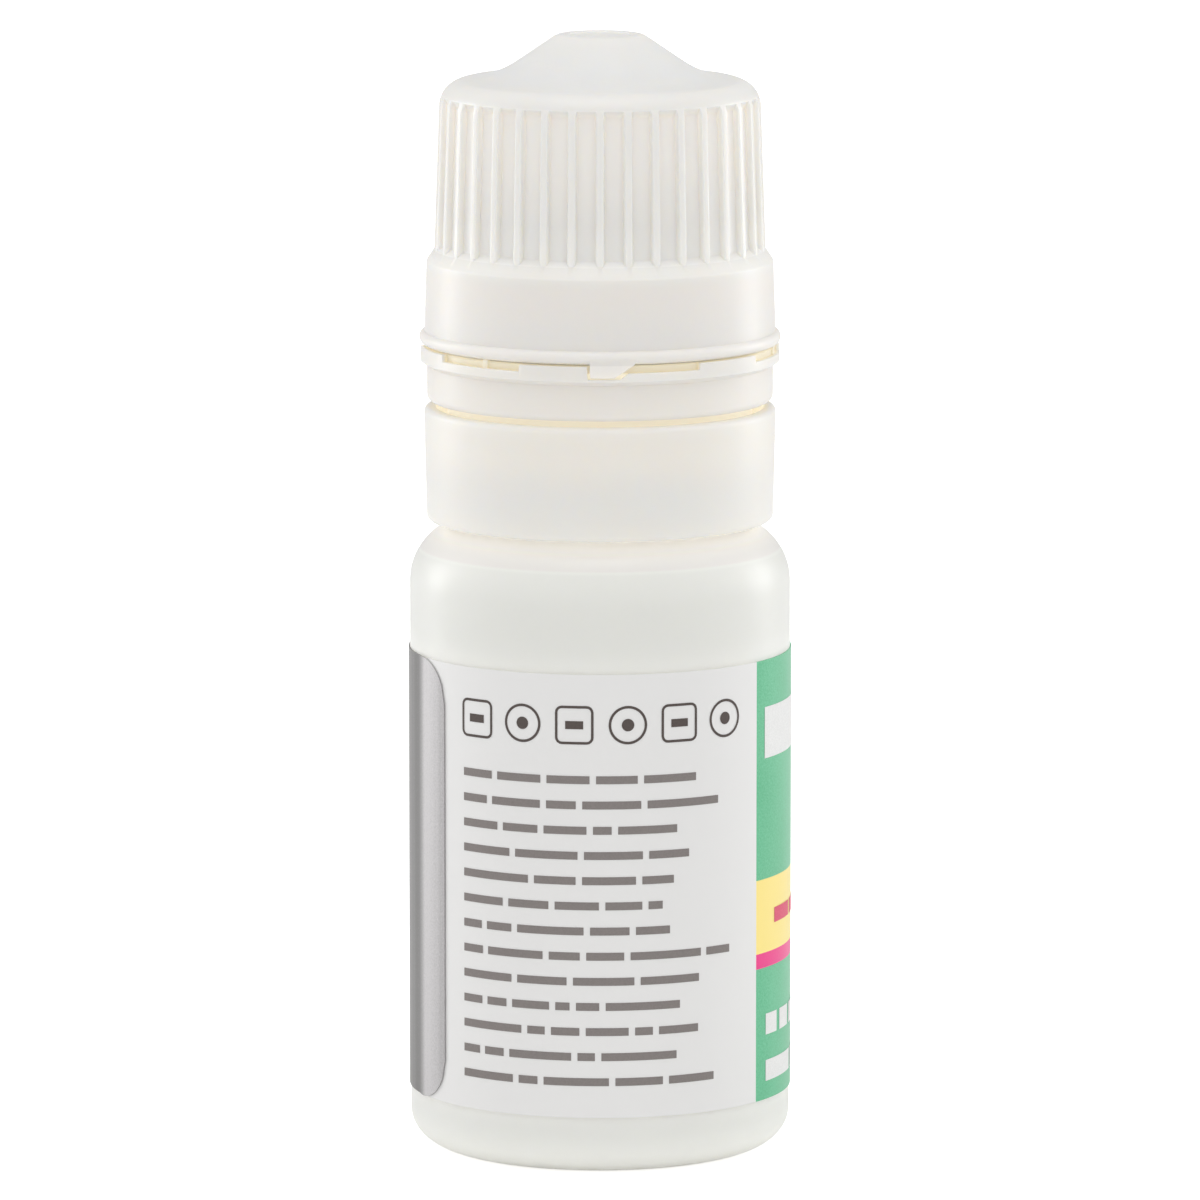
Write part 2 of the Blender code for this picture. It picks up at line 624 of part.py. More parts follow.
def plate_columns(points, radius, high, turn):
    """Columns for a wrapped plate from (angle, low edge) points, with one added every few degrees."""
    columns = []
    for (start, low), (end, next_low) in zip(points, points[1:]):
        steps = max(1, math.ceil((end - start) / COLUMN_STEP_ANGLE))
        for step in range(steps):
            share = step / steps
            angle = start + (end - start) * share + turn
            columns.append((angle, radius, low + (next_low - low) * share, high))
    columns.append((points[-1][0] + turn, radius, points[-1][1], high))
    return columns


def make_tamper_ring(finish, group, cutters):
    """Loose band under the cap: castellated flange, notches for the cap's teeth and stubs of thin bridges."""
    low_edge, notch_floor = notch_levels()
    flange_foot = low_edge - FLANGE_DEPTH
    bead_top = ring_foot + RING_BEAD_THICKNESS
    profile = [(ring_bore, ring_top), (flange_radius, ring_top), (flange_radius, flange_foot),
               (ring_radius, flange_foot - FLANGE_TAPER)]
    profile += arc((ring_radius - RING_HEEL, ring_foot + RING_HEEL), RING_HEEL, RING_HEEL, 0.0, -90.0)
    profile += [(ring_bore - RING_BEAD_REACH, ring_foot),
                (ring_bore - RING_BEAD_REACH, bead_top - RING_BEAD_REACH), (ring_bore, bead_top)]
    made = turned("tamper_ring", profile, finish, group, WIDE_FACETS)
    floor_radius = ring_radius + NOTCH_LIP
    depth = flange_radius - floor_radius + CUT_OVERRUN
    high = ring_top + CUT_OVERRUN
    pitch = 360.0 / MERLON_COUNT
    gap_points = [(MERLON_END_ANGLE - pitch, low_edge), (MERLON_START_ANGLE, low_edge)]
    notch_points = [(NOTCH_START_ANGLE, notch_floor), (NOTCH_FLOOR_END_ANGLE, notch_floor),
                    (NOTCH_RAMP_END_ANGLE, low_edge)]
    for index in range(MERLON_COUNT):
        columns = plate_columns(gap_points, floor_radius, high, pitch * index)
        boolean(made, wrapped_plate(f"gap_cutter_{index}", columns, depth, cutters), "DIFFERENCE")
    for index in range(TOOTH_COUNT):
        turn = 360.0 * index / TOOTH_COUNT
        columns = plate_columns(notch_points, floor_radius, high, turn)
        boolean(made, wrapped_plate(f"notch_cutter_{index}", columns, depth, cutters), "DIFFERENCE")
        bridge_foot = low_edge - BRIDGE_DEPTH
        bridge_points = [(BRIDGE_ANGLE, bridge_foot), (BRIDGE_ANGLE + BRIDGE_SPAN, bridge_foot)]
        bridge = plate_columns(bridge_points, ring_radius - BRIDGE_DEPTH, ring_top + CAP_LIFT / 2, turn)
        boolean(made, wrapped_plate(f"bridge_{index}", bridge, 2 * BRIDGE_DEPTH, cutters), "UNION")
    return settle(made)


def knurl_radius(height):
    """Radius of the ribs' crests at a height."""
    share = (height - slope_top) / (shoulder_foot - slope_top)
    return knurl_foot_radius - KNURL_DRAFT * share


def make_flute_cutter(cutters):
    """One tapered bar for each flute: narrow at its floor, with a foot that slopes like the skirt's top."""
    mesh = bpy.data.meshes.new("flute_cutter")
    shape = bmesh.new()
    pitch = math.tau / RIB_COUNT
    for index in range(RIB_COUNT):
        corners = bmesh.ops.create_cube(shape, size=1.0)["verts"]
        turn = Matrix.Rotation(pitch * (index + 0.5), 4, "Z")
        for corner in corners:
            outside, side, upper = (part > 0.0 for part in corner.co)
            foot = slope_top + (-CUT_OVERRUN * FLUTE_FOOT_RISE / FLUTE_DEPTH if outside else FLUTE_FOOT_RISE)
            height = cap_top if upper else foot
            crest = knurl_radius(height)
            radius = crest + CUT_OVERRUN if outside else crest - FLUTE_DEPTH
            spread = (RIB_ROOT_WIDTH - RIB_CREST_WIDTH) / FLUTE_DEPTH
            rib = RIB_CREST_WIDTH - spread * CUT_OVERRUN if outside else RIB_ROOT_WIDTH
            half = (pitch * radius - rib) / 2
            corner.co = turn @ Vector((radius, half if side else -half, height))
    shape.to_mesh(mesh)
    shape.free()
    return add_object(mesh.name, mesh, None, cutters)


def cap_outside():
    """The cap's outer profile, from the dimple's centre down to the bead's foot."""
    shoulder_middle = (knurl_top_radius - CAP_SHOULDER, shoulder_foot)
    dome_radius = shoulder_middle[0] + CAP_SHOULDER * math.cos(math.radians(CAP_SHOULDER_SWEEP))
    profile = [(0.0, cap_top - DIMPLE_DEPTH), (DIMPLE_RADIUS / 2, cap_top - DIMPLE_DEPTH)]
    rim_drop = DIMPLE_DEPTH * RIM_DROP_SHARE
    profile += [(DIMPLE_RADIUS, cap_top - rim_drop), ((DIMPLE_RADIUS + DOME_TOP_RADIUS) / 2, cap_top)]
    for step in range(CURVE_STEPS):
        share = 1.0 - step / CURVE_STEPS
        radius = dome_radius + (DOME_TOP_RADIUS - dome_radius) * share
        profile.append((radius, dome_foot + DOME_RISE * share**DOME_FLARE - rim_drop * share))
    profile += arc(shoulder_middle, CAP_SHOULDER, CAP_SHOULDER, CAP_SHOULDER_SWEEP, 0.0)
    skirt_top = cap_foot + SKIRT_HEIGHT
    profile += [(knurl_foot_radius, slope_top), (skirt_radius - SKIRT_EDGE / 2, skirt_top + SKIRT_EDGE),
                (skirt_radius, skirt_top - SKIRT_EDGE)]
    bead_middle = (cap_bead_radius - CAP_BEAD_HEIGHT / 2, cap_foot + CAP_BEAD_HEIGHT / 2)
    profile.append((skirt_radius, cap_foot + CAP_BEAD_HEIGHT))
    return profile + arc(bead_middle, CAP_BEAD_HEIGHT / 2, CAP_BEAD_HEIGHT / 2, 60.0, -90.0)


def cap_inside():
    """Profile of the space in the cap, from the ceiling over the seal down past the skirt's mouth."""
    skirt_bore = ring_bore + SKIRT_STEP
    step_height = cap_foot + SKIRT_BORE_HEIGHT
    step_run = skirt_bore - thread_bore
    plug_bore = CAP_SEAL_RADIUS + SEAT_GAP
    plug_radius = plug_bore + PLUG_WALL
    profile = [(0.0, cap_ceiling), (plug_bore, cap_ceiling), (plug_bore, cap_ceiling - PLUG_DEPTH),
               (plug_radius, cap_ceiling - PLUG_DEPTH), (plug_radius, cap_ceiling - PLUG_FILLET),
               (plug_radius + PLUG_FILLET, cap_ceiling),
               (thread_bore - CROWN_WALL, dome_foot - CROWN_WALL), (thread_bore, shoulder_foot)]
    profile += [(thread_bore, step_height + step_run), (skirt_bore, step_height)]
    return profile + [(skirt_bore, cap_foot - CUT_OVERRUN), (0.0, cap_foot - CUT_OVERRUN)]


def make_cap(finish, group, cutters):
    outside = cap_outside() + [(0.0, cap_foot)]
    made = turned("screw_cap", outside, finish, group, RIBBED_FACETS, closed=False)
    cavity = turned("cap_cavity", cap_inside(), None, cutters, CAVITY_FACETS, closed=False)
    boolean(made, cavity, "DIFFERENCE")
    boolean(made, make_flute_cutter(cutters), "DIFFERENCE")
    tooth_foot = cap_foot - TOOTH_HEIGHT
    tooth_points = [(TOOTH_START_ANGLE, tooth_foot), (TOOTH_FLOOR_END_ANGLE, tooth_foot),
                    (TOOTH_RAMP_END_ANGLE, cap_foot)]
    inner = ring_radius + RUN_GAP
    for index in range(TOOTH_COUNT):
        columns = plate_columns(tooth_points, inner, cap_foot + TOOTH_ROOT, 360.0 * index / TOOTH_COUNT)
        tooth = wrapped_plate(f"tooth_{index}", columns, cap_bead_radius - TOOTH_SET_BACK - inner, cutters)
        boolean(made, tooth, "UNION")
    return settle(made)


def make_cap_seal(finish, group):
    """Soft disc pressed into the cap's plug ring, which wipes and closes the dropper's tip."""
    low = nozzle_tip + SEAT_GAP
    high = low + CAP_SEAL_THICKNESS
    profile = [(0.0, high), (CAP_SEAL_RADIUS, high), (CAP_SEAL_RADIUS, low + CAP_SEAL_EDGE),
               (CAP_SEAL_RADIUS - CAP_SEAL_EDGE, low), (0.0, low)]
    return settle(turned("cap_seal", profile, finish, group, closed=False))


for old in list(bpy.data.objects):
    bpy.data.objects.remove(old)

pieces = collection("eye_drop_bottle")
tools = collection("cutters")
tools.hide_render = True

white = material("white_cap_plastic", (0.88, 0.87, 0.84), 0.38)
milky = material("milky_bottle_plastic", (0.84, 0.85, 0.82), 0.35)
clear = material("clear_solution", (0.90, 0.93, 0.92), 0.05)
paper = material("label_film", (0.86, 0.86, 0.86), 0.45)
natural = material("natural_inner_plastic", (0.85, 0.84, 0.78), 0.45)
elastic = material("pale_elastomer", (0.78, 0.80, 0.80), 0.60)
fleece = material("filter_membrane", (0.90, 0.90, 0.88), 0.90)
steel = material("spring_steel", (0.62, 0.62, 0.63), 0.25, 1.0)

make_bottle(milky, pieces)
make_solution(clear, pieces)
make_label(paper, pieces)
make_neck_seal(elastic, pieces)
make_inlet_insert(natural, pieces, tools)
make_vent_filter(fleece, pieces)
make_filter_retainer(natural, pieces, tools)
make_housing(white, pieces, tools)
make_spring_carrier(natural, pieces, tools)
make_valve_spring(steel, pieces)
make_valve_pin(natural, pieces, tools)
make_diaphragm(elastic, pieces)
make_nozzle(white, pieces)
make_tamper_ring(white, pieces, tools)
make_cap(white, pieces, tools)
make_cap_seal(elastic, pieces)
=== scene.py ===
"""Looks of a 10 ml eye drop bottle: squeeze bottle, label, dropper head, tamper ring and ribbed screw cap.

Lengths are in metres and +Z is up. The front faces -Y. Angles round the bottle are in degrees from the front,
positive towards +X. An outline is a list of (radius, height) points.
"""

import math

import bmesh
import bpy
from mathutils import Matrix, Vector


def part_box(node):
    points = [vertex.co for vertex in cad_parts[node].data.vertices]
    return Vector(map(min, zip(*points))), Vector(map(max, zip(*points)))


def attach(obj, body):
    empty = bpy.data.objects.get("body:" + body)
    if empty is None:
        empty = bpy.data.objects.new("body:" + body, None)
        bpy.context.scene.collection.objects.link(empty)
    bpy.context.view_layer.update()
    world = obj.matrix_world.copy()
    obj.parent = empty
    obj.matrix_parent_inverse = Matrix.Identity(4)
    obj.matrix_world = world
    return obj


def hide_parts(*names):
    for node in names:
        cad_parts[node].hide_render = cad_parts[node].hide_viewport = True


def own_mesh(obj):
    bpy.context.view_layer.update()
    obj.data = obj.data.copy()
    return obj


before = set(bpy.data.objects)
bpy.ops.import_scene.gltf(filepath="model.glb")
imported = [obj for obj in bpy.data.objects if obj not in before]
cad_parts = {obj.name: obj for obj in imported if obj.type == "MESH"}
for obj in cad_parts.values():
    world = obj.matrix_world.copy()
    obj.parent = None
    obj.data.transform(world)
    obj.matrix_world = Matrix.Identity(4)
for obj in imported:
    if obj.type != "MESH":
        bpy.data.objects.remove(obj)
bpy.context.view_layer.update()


# The studio: a white floor that runs into a white surround, a tall soft lamp behind each side and a soft one
# above. The surround is plain white to the camera. It lights the object at a lower level, and less from behind.
CAMERA_LENS = 312.0
CAMERA_SENSOR = 36.0
CAMERA_DISTANCE = 0.684
CAMERA_PITCH = 8.85
AIM_HEIGHT = 0.03615
SURROUND_LEVEL = 0.945
SURROUND_BACK_FALL = 0.45
SIDE_LAMP_ANGLE = 116.0
SIDE_LAMP_DISTANCE = 0.42
SIDE_LAMP_WIDTH = 0.12
SIDE_LAMP_HEIGHT = 0.40
SIDE_LAMP_POWER = 0.64
TOP_LAMP_HEIGHT = 0.50
TOP_LAMP_FORWARD = 0.05
TOP_LAMP_SIZE = 0.30
TOP_LAMP_POWER = 0.45
FLOOR_REACH = 3.0
FLOOR_COLOUR = (0.86, 0.86, 0.86, 1.0)
FLOOR_LIFT = 0.60


def placed(name, data):
    """A new object in the scene."""
    made = bpy.data.objects.new(name, data)
    bpy.context.scene.collection.objects.link(made)
    return made


def meshed(name, shape):
    """A new object in the scene from a bmesh, which is freed."""
    mesh = bpy.data.meshes.new(name)
    shape.to_mesh(mesh)
    shape.free()
    return placed(name, mesh)


pitch = math.radians(CAMERA_PITCH)
camera = placed("camera", bpy.data.cameras.new("camera"))
camera.data.lens = CAMERA_LENS
camera.data.sensor_width = CAMERA_SENSOR
camera.location = (0.0, -CAMERA_DISTANCE * math.cos(pitch), AIM_HEIGHT + CAMERA_DISTANCE * math.sin(pitch))
camera.rotation_euler = (math.radians(90.0) - pitch, 0.0, 0.0)
bpy.context.scene.camera = camera
bpy.context.scene.view_settings.view_transform = "Standard"


class Wire:
    """A node's output. A sum written on it adds the Math nodes that work it out."""

    def __init__(self, socket):
        self.socket = socket

    def calculate(self, operation, *values):
        step = self.socket.node.id_data.nodes.new("ShaderNodeMath")
        step.operation = operation
        for socket, value in zip(step.inputs, values):
            connect(socket, value)
        return Wire(step.outputs[0])

    def __add__(self, other):
        return self.calculate("ADD", self, other)

    def __radd__(self, other):
        return self.calculate("ADD", other, self)

    def __sub__(self, other):
        return self.calculate("SUBTRACT", self, other)

    def __rsub__(self, other):
        return self.calculate("SUBTRACT", other, self)

    def __mul__(self, other):
        return self.calculate("MULTIPLY", self, other)

    def __rmul__(self, other):
        return self.calculate("MULTIPLY", other, self)

    def __truediv__(self, other):
        return self.calculate("DIVIDE", self, other)

    def __rtruediv__(self, other):
        return self.calculate("DIVIDE", other, self)

    def __pow__(self, other):
        return self.calculate("POWER", self, other)

    def __abs__(self):
        return self.calculate("ABSOLUTE", self)

    def least(self, other):
        return self.calculate("MINIMUM", self, other)

    def most(self, other):
        return self.calculate("MAXIMUM", self, other)

    def above(self, other):
        return self.calculate("GREATER_THAN", self, other)

    def root(self):
        return self.calculate("SQRT", self)

    def limited(self):
        """The value, kept between 0 and 1."""
        return self.most(0.0).least(1.0)

    def eased(self):
        """The value kept between 0 and 1, with a soft start and end."""
        kept = self.limited()
        return kept * kept * (3.0 - 2.0 * kept)


def connect(socket, value):
    if isinstance(value, Wire):
        socket.node.id_data.links.new(value.socket, socket)
    else:
        socket.default_value = value


class Workings:
    """The node tree of a finish or of a shape."""

    def __init__(self, tree):
        self.tree = tree

    def node(self, kind, feeds=(), **settings):
        made = self.tree.nodes.new(kind)
        for name, value in settings.items():
            setattr(made, name, value)
        for name, value in dict(feeds).items():
            connect(made.inputs[name], value)
        return made

    def wire(self, kind, feeds=(), output=0, **settings):
        return Wire(self.node(kind, feeds, **settings).outputs[output])

    def vector(self, x=0.0, y=0.0, z=0.0):
        return self.wire("ShaderNodeCombineXYZ", {0: x, 1: y, 2: z})

    def split(self, vector):
        return [Wire(socket) for socket in self.node("ShaderNodeSeparateXYZ", {0: vector}).outputs]

    def blend(self, factor, first, second):
        """One colour or the other, by the factor."""
        return self.wire("ShaderNodeMix", {0: factor, 6: first, 7: second}, 2, data_type="RGBA")

    def noise(self, place, fineness, detail=2.0):
        """Even random variation of 0 to 1, with so many blotches to the metre."""
        return self.wire("ShaderNodeTexNoise", {"Vector": place, "Scale": fineness, "Detail": detail})

    def relief(self, height, depth, strength):
        """The normal of a skin that rises by a depth where the height is 1."""
        return self.wire("ShaderNodeBump", {"Height": height, "Distance": depth, "Strength": strength})


world = bpy.data.worlds.new("surround")
bpy.context.scene.world = world
world.use_nodes = True
surround = Workings(world.node_tree)


def looked_at(works):
    """1 on a ray from the camera, also through a clear material, and 0 on a ray that only brings light."""
    rays = works.node("ShaderNodeLightPath")
    return (Wire(rays.outputs["Is Camera Ray"]) + Wire(rays.outputs["Is Transmission Ray"])).least(1.0)


_, behind, _ = surround.split(surround.wire("ShaderNodeTexCoord"))
level = SURROUND_LEVEL * (1.0 - behind.eased() * SURROUND_BACK_FALL)
strength = level + (1.0 - level) * looked_at(surround)
connect(world.node_tree.nodes["Background"].inputs["Strength"], strength)
world.node_tree.nodes["Background"].inputs["Color"].default_value = (1.0, 1.0, 1.0, 1.0)

floor_shape = bmesh.new()
bmesh.ops.create_grid(floor_shape, x_segments=1, y_segments=1, size=FLOOR_REACH)
floor = meshed("floor", floor_shape)
floor_finish = bpy.data.materials.new("floor_white")
floor_finish.use_nodes = True
paint = Workings(floor_finish.node_tree)
paint.tree.nodes.remove(paint.tree.nodes["Principled BSDF"])
painted = paint.wire("ShaderNodeBsdfDiffuse", {"Color": FLOOR_COLOUR})
lit = paint.wire("ShaderNodeEmission", {"Strength": looked_at(paint) * FLOOR_LIFT})
both = paint.wire("ShaderNodeAddShader", {0: painted, 1: lit})
connect(paint.tree.nodes["Material Output"].inputs["Surface"], both)
floor.data.materials.append(floor_finish)


def soft_lamp(name, place, width, height, power):
    """A plain rectangular lamp that faces the middle of the bottle."""
    data = bpy.data.lights.new(name, "AREA")
    data.shape = "RECTANGLE"
    data.size = width
    data.size_y = height
    data.energy = power
    lamp = placed(name, data)
    lamp.location = place
    lamp.rotation_euler = (Vector((0.0, 0.0, AIM_HEIGHT)) - lamp.location).to_track_quat("-Z", "Y").to_euler()


for side, name in ((-1.0, "left_lamp"), (1.0, "right_lamp")):
    turn = math.radians(SIDE_LAMP_ANGLE)
    place = Vector((side * math.sin(turn), -math.cos(turn), 0.0)) * SIDE_LAMP_DISTANCE
    place.z = AIM_HEIGHT
    soft_lamp(name, place, SIDE_LAMP_WIDTH, SIDE_LAMP_HEIGHT, SIDE_LAMP_POWER)
soft_lamp("top_lamp", (0.0, -TOP_LAMP_FORWARD, TOP_LAMP_HEIGHT), TOP_LAMP_SIZE, TOP_LAMP_SIZE, TOP_LAMP_POWER)


# The squeeze bottle: blown in one piece from soft milky polyethylene, with a rounded shoulder, a rounded heel and
# a shallow push-up inside its foot ring. The wall is a millimetre thick and lets light through.
BOTTLE_WALL = 0.0010
BODY_HEIGHT = 0.03755
SHOULDER_RISE = 0.00415
SHOULDER_FLAT = 0.0001
BOTTLE_NECK_RADIUS = 0.0080
BOTTLE_NECK_WALL = 0.0012
HEEL_REACH = 0.0027
HEEL_RISE = 0.0023
FOOT_WIDTH = 0.0012
FOOT_EDGE = 0.0003
PUSH_UP = 0.0008
BOTTLE_COLUMNS = 192
SHARP_ANGLE = 40.0
WELD_REACH = 1e-7
MILKY_COLOUR = (0.852, 0.861, 0.802, 1.0)
# Painted light: a warm cream over the shoulder above the band, for the collar's reflection and the light through
# the wall there.
MILKY_PAINTED_LIGHT_COLOUR = (0.860, 0.828, 0.785, 1.0)
MILKY_PAINTED_LIGHT_SHARE = 0.8
MILKY_MOTTLE_SHARE = 0.3
MILKY_ROUGHNESS = 0.35
# Painted light: the glow colour is emitted where the bottle lies in shade, and along a painted highlight line on
# the band.
MILKY_PAINTED_GLOW = (0.650, 0.625, 0.580, 1.0)
NO_GLOW = (0.0, 0.0, 0.0, 1.0)
MILKY_BAND_HEIGHT = 0.0397
MILKY_BAND_EDGE = 0.00015
MILKY_BAND_PAINTED_HIGHLIGHT = 0.05
SHOULDER_GLOW = 0.48
SHOULDER_GLOW_GAIN = 2.6
SHOULDER_GLOW_FOOT = 0.0391
SHOULDER_GLOW_RISE = 0.0025
HEEL_GLOW = 0.20
HEEL_GLOW_RISE = 1.5 * HEEL_RISE
LABEL_GLOW = 0.18
LABEL_GLOW_REACH = 0.0025
MILKY_MOTTLE_FINENESS = 420.0
MILKY_SKIN_FINENESS = 2600.0
MILKY_SKIN_DEPTH = 0.000010
SKIN_SWING = 0.10
CLOUD_SWING = 0.08
SKIN_STRENGTH = 0.5

bottle_low, bottle_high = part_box("bottle")
label_low, label_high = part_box("label")
bottle_radius = bottle_high.x
shoulder_top = BODY_HEIGHT + SHOULDER_RISE
foot_radius = bottle_radius - HEEL_REACH - FOOT_WIDTH


def oval(centre, reach, rise, start, end, steps=12):
    """Points of an arc in an outline, from one angle to another in degrees."""
    points = []
    for step in range(steps + 1):
        angle = math.radians(start + (end - start) * step / steps)
        points.append((centre[0] + reach * math.cos(angle), centre[1] + rise * math.sin(angle)))
    return points


def rounded(corners, closed=True, steps=4):
    """An outline from (radius, height, ease) corners, each rounded off by its ease."""
    points = []
    for index, (radius, height, ease) in enumerate(corners):
        here = Vector((radius, height))
        if not ease or (not closed and index in (0, len(corners) - 1)):
            points.append((radius, height))
            continue
        before = Vector(corners[index - 1][:2]) - here
        after = Vector(corners[(index + 1) % len(corners)][:2]) - here
        reach = min(ease / math.tan(before.angle(after) / 2), before.length / 2, after.length / 2)
        first, last = here + before.normalized() * reach, here + after.normalized() * reach
        for step in range(steps + 1):
            share = step / steps
            point = first * (1 - share) ** 2 + here * 2 * share * (1 - share) + last * share**2
            points.append(tuple(point))
    return points


def skinned(name, rings, closed=True, ends=False):
    """A closed mesh over rings of points. It runs on round the axis, where the points that meet become one, or
    it has two flat ends.
    """
    mesh = bpy.data.meshes.new(name)
    count, length = len(rings), len(rings[0])
    points = [point for ring in rings for point in ring]
    faces = [tuple(range(first, first + length)) for first in (0, (count - 1) * length) if ends]
    for column in range(count - 1 if ends else count):
        following = (column + 1) % count
        for row in range(length if closed else length - 1):
            below = (row + 1) % length
            faces.append((column * length + row, column * length + below,
                          following * length + below, following * length + row))
    mesh.from_pydata(points, [], faces)
    shape = bmesh.new()
    shape.from_mesh(mesh)
    if not ends:
        bmesh.ops.remove_doubles(shape, verts=shape.verts, dist=WELD_REACH)
        bmesh.ops.dissolve_degenerate(shape, edges=shape.edges, dist=WELD_REACH)
    bmesh.ops.recalc_face_normals(shape, faces=shape.faces)
    shape.to_mesh(mesh)
    shape.free()
    return smooth(placed(name, mesh))


def smooth(made):
    made.data.shade_smooth()
    made.data.set_sharp_from_angle(angle=math.radians(SHARP_ANGLE))
    return made


def turned(name, outline, columns=BOTTLE_COLUMNS, closed=True):
    """An outline turned round the bottle's axis."""
    rings = []
    for column in range(columns):
        turn = math.tau * column / columns
        rings.append([(radius * math.sin(turn), -radius * math.cos(turn), height)
                      for radius, height in outline])
    return skinned(name, rings, closed)


def principled(name, constants):
    """A new finish with its fixed values set, its shader, and its workings."""
    made = bpy.data.materials.new(name)
    made.use_nodes = True
    shader = made.node_tree.nodes["Principled BSDF"]
    for socket, value in constants.items():
        shader.inputs[socket].default_value = value
    return made, shader, Workings(made.node_tree)


def measures(works):
    """The place on the piece, its distance from the bottle's axis and its height, all in metres."""
    place = works.wire("ShaderNodeTexCoord", output="Object")
    across, along, height = works.split(place)
    return place, (across * across + along * along).root(), height


def dress(made, material, body, slot, *replaced):
    """Gives a finished piece its material and its body, and names what it stands for. The record's slot argument is
    not used.
    """
    made.data.materials.clear()
    made.data.materials.append(material)
    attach(made, body)
    if replaced:
        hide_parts(*replaced)


def moulded_skin(shader, works, roughness, skin, cloud, height, depth):
    """Makes a moulding's roughness vary a little with its skin and its cloud, and lifts the skin by a height."""
    connect(shader.inputs["Roughness"], roughness + (skin - 0.5) * SKIN_SWING + (cloud - 0.5) * CLOUD_SWING)
    connect(shader.inputs["Normal"], works.relief(height, depth, SKIN_STRENGTH))


def milky_plastic():
    """Translucent polyethylene. Above the band its colour is painted warm light, and a painted glow (emission)
    lifts the shade round the collar, at the heel and beside the label's edges, with a painted highlight line on the
    band.
    """
    made, shader, works = principled("milky_polyethylene", {
        "Transmission Weight": 0.10, "IOR": 1.50, "Subsurface Weight": 0.8, "Subsurface Scale": 0.0025,
        "Subsurface Radius": (1.0, 1.0, 0.9), "Specular IOR Level": 0.45, "Emission Strength": 1.0})
    place, _, height = measures(works)
    mottle = works.noise(place, MILKY_MOTTLE_FINENESS)
    # Painted light: the shoulder above the band takes the warm cream, with a mottled lower edge.
    painted_warmth = ((height - MILKY_BAND_HEIGHT) / MILKY_BAND_EDGE).eased() * MILKY_PAINTED_LIGHT_SHARE
    painted_warmth = (painted_warmth + (mottle - 0.5) * MILKY_MOTTLE_SHARE).limited()
    # Painted glow: emission that lifts the shade under the collar, at the heel and beside the label's edges, and a
    # painted highlight line on the band.
    shoulder = ((height - SHOULDER_GLOW_FOOT) / SHOULDER_GLOW_RISE).limited() ** 4.0
    shoulder = (shoulder * SHOULDER_GLOW_GAIN).limited()
    heel = (1.0 - height / HEEL_GLOW_RISE).eased()
    band = (1.0 - abs(height - MILKY_BAND_HEIGHT) / MILKY_BAND_EDGE).limited()
    beside = (1.0 - (label_low.z - height).most(height - label_high.z) / LABEL_GLOW_REACH).limited() ** 3.0
    glow = shoulder * SHOULDER_GLOW + heel * HEEL_GLOW + band * MILKY_BAND_PAINTED_HIGHLIGHT + beside * LABEL_GLOW
    connect(shader.inputs["Emission Color"], works.blend(glow, NO_GLOW, MILKY_PAINTED_GLOW))
    connect(shader.inputs["Base Color"], works.blend(painted_warmth, MILKY_COLOUR, MILKY_PAINTED_LIGHT_COLOUR))
    skin = works.noise(place, MILKY_SKIN_FINENESS, 3.0)
    moulded_skin(shader, works, MILKY_ROUGHNESS, skin, mottle, mottle, MILKY_SKIN_DEPTH)
    return made


def inner_floor(gap=0.0):
    """The floor inside the bottle from the axis out to the wall, or a line that clears it by a gap."""
    reach, rise, height = HEEL_REACH - BOTTLE_WALL, HEEL_RISE - BOTTLE_WALL, BOTTLE_WALL + gap
    points = [(0.0, height + PUSH_UP)] + oval((0.0, height), foot_radius, PUSH_UP, 80.0, 0.0, 8)
    return points + oval((bottle_radius - BOTTLE_WALL - gap - reach, height + rise), reach, rise, -90.0, 0.0)


def bottle_outline():
    shoulder_reach = bottle_radius - BOTTLE_NECK_RADIUS - SHOULDER_FLAT
    shoulder_middle = (bottle_radius - shoulder_reach, BODY_HEIGHT)
    inner_top = shoulder_top - BOTTLE_WALL
    neck_bore = BOTTLE_NECK_RADIUS - BOTTLE_NECK_WALL
    points = inner_floor()
    points += oval(shoulder_middle, shoulder_reach - BOTTLE_WALL, inner_top - BODY_HEIGHT, 0.0, 90.0)
    points += [(neck_bore, inner_top + FOOT_EDGE), (neck_bore, bottle_high.z),
               (BOTTLE_NECK_RADIUS, bottle_high.z), (BOTTLE_NECK_RADIUS, shoulder_top)]
    points += oval(shoulder_middle, shoulder_reach, SHOULDER_RISE, 90.0, 0.0, 24)
    points += oval((bottle_radius - HEEL_REACH, HEEL_RISE), HEEL_REACH, HEEL_RISE, 0.0, -90.0, 16)
    points += oval((foot_radius, FOOT_EDGE), FOOT_EDGE, FOOT_EDGE, -90.0, -150.0, 4)
    points += oval((0.0, 0.0), foot_radius - FOOT_EDGE, PUSH_UP, 20.0, 80.0, 8)
    points.append((0.0, PUSH_UP))
    return points


bottle = turned("squeeze_bottle", bottle_outline(), closed=False)
dress(bottle, milky_plastic(), "root", "milky_bottle_plastic", "bottle")


# The solution: clear watery liquid that fills the bottle to under the label's top, with the curved edge that
# liquid has where it wets the wall.
SOLUTION_GAP = 0.00005
SOLUTION_MENISCUS = 0.0004
SOLUTION_COLUMNS = 96
LIQUID_ROUGHNESS = 0.02
LIQUID_FINENESS = 300.0
LIQUID_COLOUR = (0.95, 0.98, 0.97, 1.0)

_, solution_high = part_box("solution")


def clear_liquid():
    made, shader, works = principled("clear_solution", {
        "Transmission Weight": 1.0, "IOR": 1.33, "Base Color": LIQUID_COLOUR})
    cloud = works.noise(measures(works)[0], LIQUID_FINENESS)
    connect(shader.inputs["Roughness"], LIQUID_ROUGHNESS * (1.0 + cloud))
    return made


